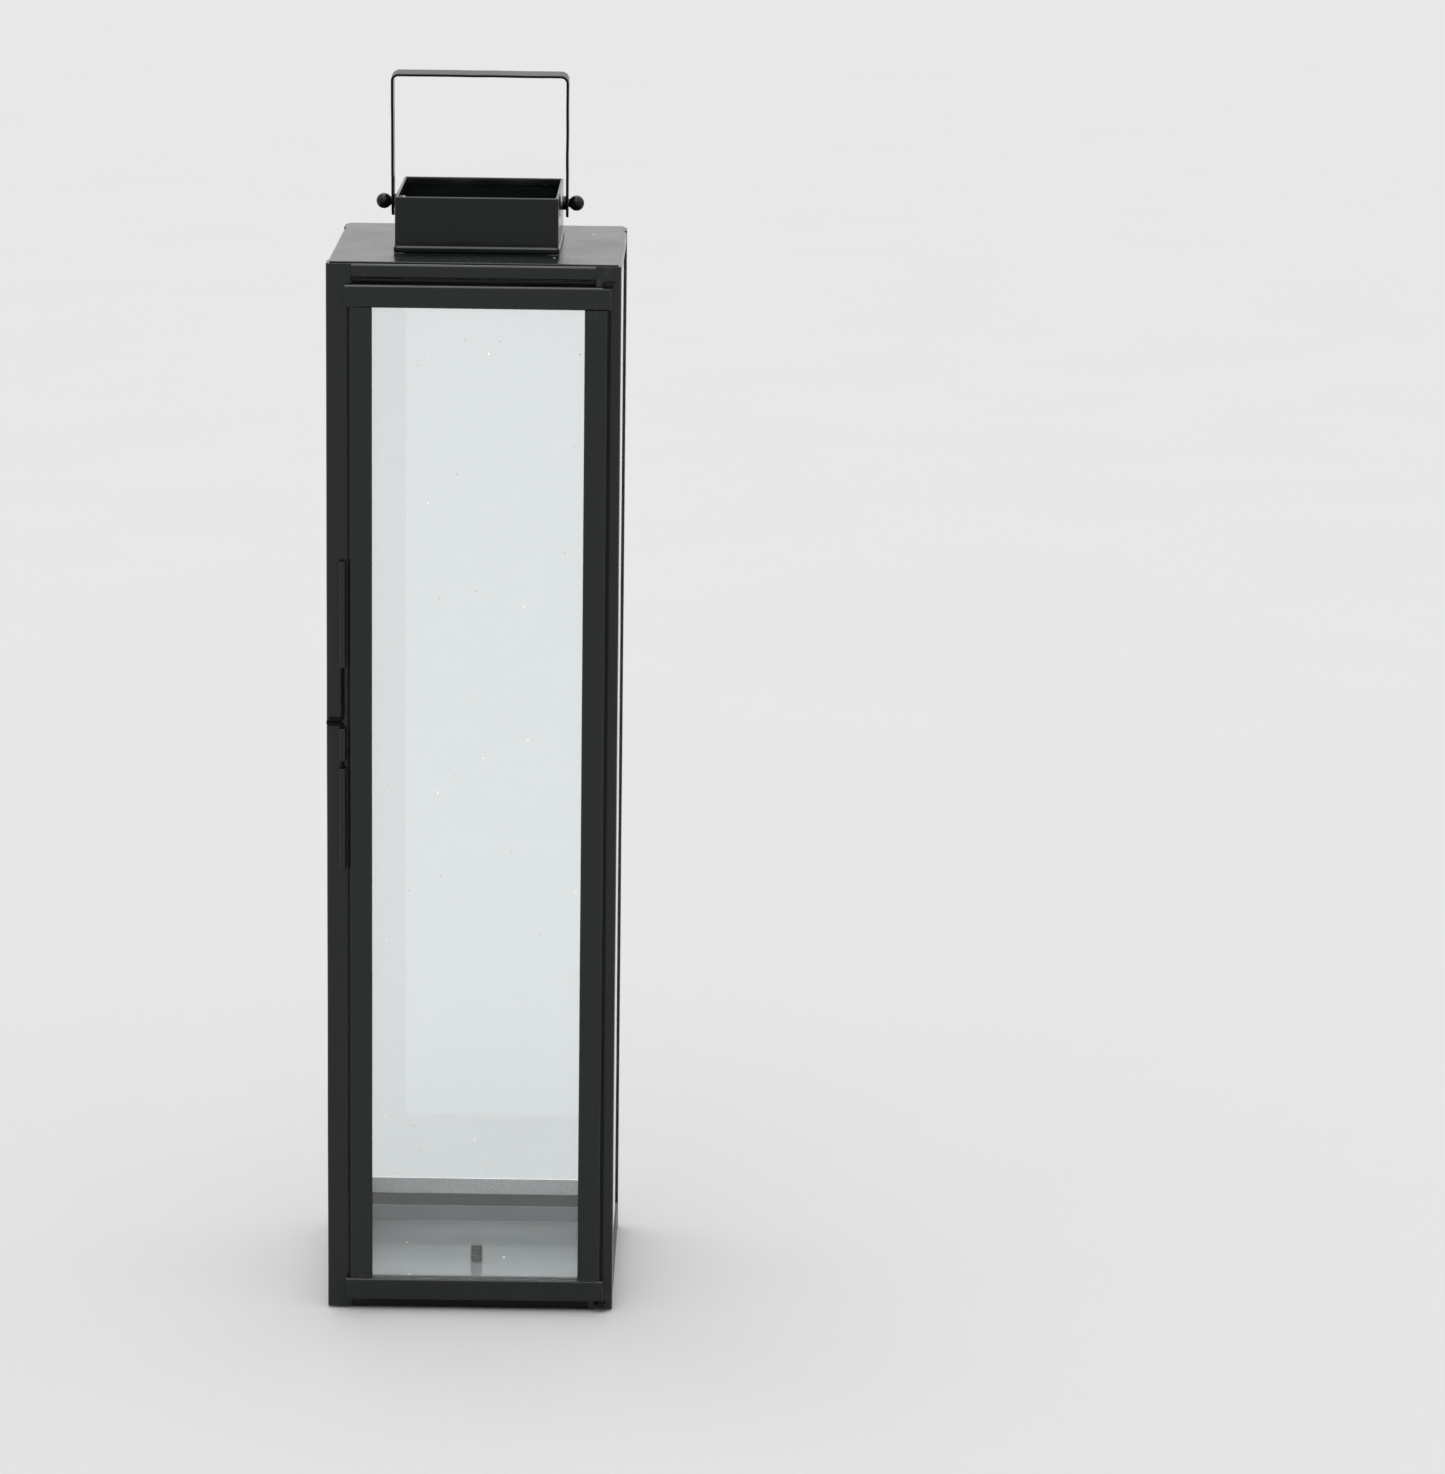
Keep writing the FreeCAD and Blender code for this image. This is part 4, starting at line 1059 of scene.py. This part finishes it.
def door_stiles():
    """Folded stiles: outer flange, step, face and the return that the glass lies against. The flange, in the
    shadowed gap beside the post, gets the darker matt paint: painted shade."""
    rail_low, rail_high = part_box("door_top_rail")
    face = rail_low.y + SHEET / 2
    back = rail_high.y - SHEET / 2
    for side, edge, sign, flange in (("left", rail_low.x + STILE_INSET, 1, LATCH_SIDE_FLANGE),
                                     ("right", rail_high.x - STILE_INSET, -1, HINGE_SIDE_FLANGE)):
        node = "door_stile_" + side
        low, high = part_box(node)
        outer = edge + sign * SHEET / 2
        inner = edge + sign * (RAIL_WIDTH - SHEET / 2)
        corners = [(edge - sign * flange, back), (outer, back), (outer, face), (inner, face),
                   (inner, rail_low.y + GLASS_REBATE)]
        outline = sheet_outline(fold_path(corners, DOOR_FOLD, 8), SHEET)
        if sign < 0:
            outline = outline[::-1]
        shape = moved(extruded(outline, low.z, high.z), shift(0, SEAM_STEP, 0))
        stile = stand_in(node, reshaped(shape, strayed), PAINT)
        # the flange faces get the darker matt paint: painted shade for the gap's shadow
        stile.data.materials.append(SHADE_MATT_PAINT[1])
        for polygon in stile.data.polygons:
            if sign * (polygon.center.x - outer) < -GROOVE_EDGE:
                polygon.material_index = 1


# ---- latch ----

def latch_axis():
    """Where the wire's straight part stands, as (x, y)."""
    low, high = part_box("latch_collar")
    return Vector(((low.x + high.x) / 2, (low.y + high.y) / 2))


def latch_sleeves():
    """Sleeves rolled from strip: the seam stays open on the door's side."""
    for node in ("latch_sleeve_upper", "latch_sleeve_lower"):
        low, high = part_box(node)
        outer = (high.x - low.x) / 2
        bore = WIRE_RADIUS + RUNNING_FIT
        first = SLEEVE_SEAM_AT + SLEEVE_SEAM / 2
        last = SLEEVE_SEAM_AT + 2 * pi - SLEEVE_SEAM / 2
        path = arc_path(latch_axis(), (outer + bore) / 2, first, last, 40)
        outline = sheet_outline(path, outer - bore, SLEEVE_EASE)
        stand_in(node, extruded(outline, low.z, high.z, 12 * MM, SLEEVE_EASE), PAINT)


def latch_brazing():
    """Brazing that holds the sleeves to the left post."""
    axis = latch_axis()
    beads = []
    for index, node in enumerate(("latch_sleeve_upper", "latch_sleeve_lower")):
        low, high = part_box(node)
        runs = [(low.z + BRAZE_IN, low.z + BRAZE_LENGTH), (high.z - BRAZE_LENGTH, high.z - BRAZE_IN)]
        y = high.y - BRAZE_DEEP
        for side in (-1, 1):
            x = axis.x + side * BRAZE_ASIDE
            for start, end in runs:
                ends = Vector((x, y, start)), Vector((x, y, end))
                beads.append(bead_of_weld(*ends, BRAZE_RADIUS, index * 3 + side))
    extra("latch_brazing", "frame", joined(beads), PAINT)


def latch_collar():
    """Short crimped collar."""
    low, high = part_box("latch_collar")
    axis = latch_axis()
    outer = (high.x - low.x) / 2
    middle = (low.z + high.z) / 2
    profile = ring_profile(WIRE_RADIUS, outer, low.z, high.z, 0.35 * MM)
    side_rows = [(outer, low.z + (high.z - low.z) * k / 12) for k in range(1, 12)]
    profile = profile[:5] + side_rows + profile[5:]

    def crimped(point):
        waist = exp(-(((point.z - middle) / CRIMP_REACH) ** 2))
        facet = 0.5 + 0.5 * cos(4 * atan2(point.y, point.x))
        reach = max(0.0, point.xy.length - WIRE_RADIUS - 0.1 * MM)
        return Vector((*(point.xy * (1 - CRIMP_DEPTH * waist * facet * min(1, reach / MM))), point.z))

    shape = reshaped(turned_profile(profile, 64, ring=True), crimped)
    stand_in("latch_collar", moved(shape, shift(*axis, 0)), PAINT)


def latch_wire():
    """One bent wire with a finger loop; between the sleeves it wavers a little."""
    low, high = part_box("latch_wire")
    axis = latch_axis()
    collar_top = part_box("latch_collar")[1].z
    loop_bend = LOOP_SPREAD / 2
    loop_x = low.x + WIRE_RADIUS + loop_bend
    loop_z = collar_top + WIRE_BEND + LOOP_SPREAD / 2 + LOOP_ABOVE_COLLAR
    upper = fold_path([(axis.x, high.z), (axis.x, loop_z + loop_bend), (loop_x, loop_z + loop_bend)],
                      WIRE_BEND, 10, 3 * MM)
    lower = fold_path([(loop_x, loop_z - loop_bend), (axis.x, loop_z - loop_bend), (axis.x, low.z)],
                      WIRE_BEND, 10, 3 * MM)
    bend = arc_path((loop_x, loop_z), loop_bend, radians(90), radians(270), 12)
    line = [point for point, _ in upper + bend[1:-1] + lower]
    free_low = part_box("latch_sleeve_lower")[1].z
    free_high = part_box("latch_sleeve_upper")[0].z
    points = []
    for x, z in line:
        free = max(0.0, min(z - free_low - 28 * MM, free_high - z) / (10 * MM))
        waver = WIRE_WAVER * min(1, free) * noise.noise(Vector((z * 60, 3.3, 0)))
        points.append(Vector((x + waver, axis.y + 0.6 * waver, z)))
    radii = [WIRE_RADIUS * min(1, 0.55 + 0.25 * min(k, len(points) - 1 - k)) for k in range(len(points))]
    stand_in("latch_wire", tube(points, radii, Vector((0, 1, 0)), 24), WIRE)


# ---- the lantern ----

corner_angles("corner_post", SHEET, FRAME_FOLD, 8)
rails()
corner_angles("glass_retainer", RETAINER_SHEET, RETAINER_FOLD, 6)
roof_plate()
floor_pan()
candle_stud()
rubber_feet()
chimney_walls()
chimney_welds()
panes()
glazing_strips()
handle_strap()
pivot_rings("pivot_washers", WASHER_THICK, ZINC, 0.2 * MM)
pivot_rings("strap_spacers", SPACER_THICK, ENAMEL, 0.4 * MM)
pivot_bolts()
ball_knobs()
door_stiles()
latch_sleeves()
latch_brazing()
latch_collar()
latch_wire()

for kept in ("top_gussets", "chimney_clips", "door_beads", "hinge_block_upper", "hinge_block_lower"):
    dress(kept, PAINT)
for kept in ("door_top_rail", "door_bottom_rail"):
    dress(kept, PAINT, 0.09 * MM)
# the hinge lugs take the darker matt paint: painted shade, as they sit in the shadowed gaps above and below
# the door
for kept in ("hinge_lug_upper", "hinge_lug_lower"):
    dress(kept, SHADE_MATT_PAINT)
for kept in ("hinge_pin_upper", "hinge_pin_lower", "hinge_washer"):
    dress(kept, DARK_ZINC, 0.1 * MM)


# ---- studio ----

def studio_floor():
    """Level paper, long enough to fill the picture from every side."""
    corners = [(-PAPER_HALF_WIDTH, PAPER_NEAR, 0), (PAPER_HALF_WIDTH, PAPER_NEAR, 0),
               (PAPER_HALF_WIDTH, PAPER_FAR, 0), (-PAPER_HALF_WIDTH, PAPER_FAR, 0)]
    mesh = bpy.data.meshes.new("paper")
    mesh.from_pydata(corners, [], [(0, 1, 2, 3)])
    mesh.materials.append(studio_paper("studio_paper"))
    paper = new_object("paper", mesh)


def studio_light():
    """A sky that is brighter overhead than at the horizon, and two wide soft lamps."""
    world = bpy.data.worlds.new("studio")
    bpy.context.scene.world = world
    world.use_nodes = True
    tree = world.node_tree
    towards = tree.nodes.new("ShaderNodeTexCoord").outputs["Generated"]
    height = tree.nodes.new("ShaderNodeSeparateXYZ")
    tree.links.new(towards, height.inputs["Vector"])
    glow = tree.nodes.new("ShaderNodeMapRange")
    glow.interpolation_type = "SMOOTHSTEP"
    tree.links.new(height.outputs["Z"], glow.inputs["Value"])
    ramp = {"From Min": 0.10, "From Max": 0.85, "To Min": HORIZON_GLOW, "To Max": ZENITH_GLOW}
    for key, value in ramp.items():
        glow.inputs[key].default_value = value
    tree.links.new(glow.outputs["Result"], tree.nodes["Background"].inputs["Strength"])
    tree.nodes["Background"].inputs["Color"].default_value = (1.0, 1.0, 1.0, 1.0)
    for name, energy, width, direction in (("overhead_lamp", LAMP, 30, (0.10, -0.25, -0.96)),
                                           ("front_lamp", FRONT_LAMP, 26, (0.06, 0.52, -0.85))):
        lamp = bpy.data.lights.new(name, "SUN")
        lamp.angle = radians(width)
        lamp.energy = energy
        light = new_object(name, lamp)
        light.rotation_euler = Vector(direction).to_track_quat("-Z", "Y").to_euler()


def camera():
    """A long lens a little to the right and above, looking down on the lantern."""
    place = Vector((0.1770, -3.9455, 1.2975))
    yaw, pitch, roll = radians(-0.03), radians(-12.819), radians(0.773)
    ahead = Vector((sin(yaw) * cos(pitch), cos(yaw) * cos(pitch), sin(pitch)))
    level = Vector((cos(yaw), -sin(yaw), 0))
    upright = level.cross(ahead)
    right = cos(roll) * level + sin(roll) * upright
    up = -sin(roll) * level + cos(roll) * upright
    lens = bpy.data.cameras.new("camera")
    lens.sensor_width = 36
    lens.lens = 138.0
    lens.clip_start = 0.05
    lens.clip_end = 60
    eye = new_object("camera", lens)
    eye.matrix_world = shift(*place) @ Matrix((right, up, -ahead)).transposed().to_4x4()
    bpy.context.scene.camera = eye


studio_floor()
studio_light()
camera()
bpy.context.scene.view_settings.view_transform = "Standard"
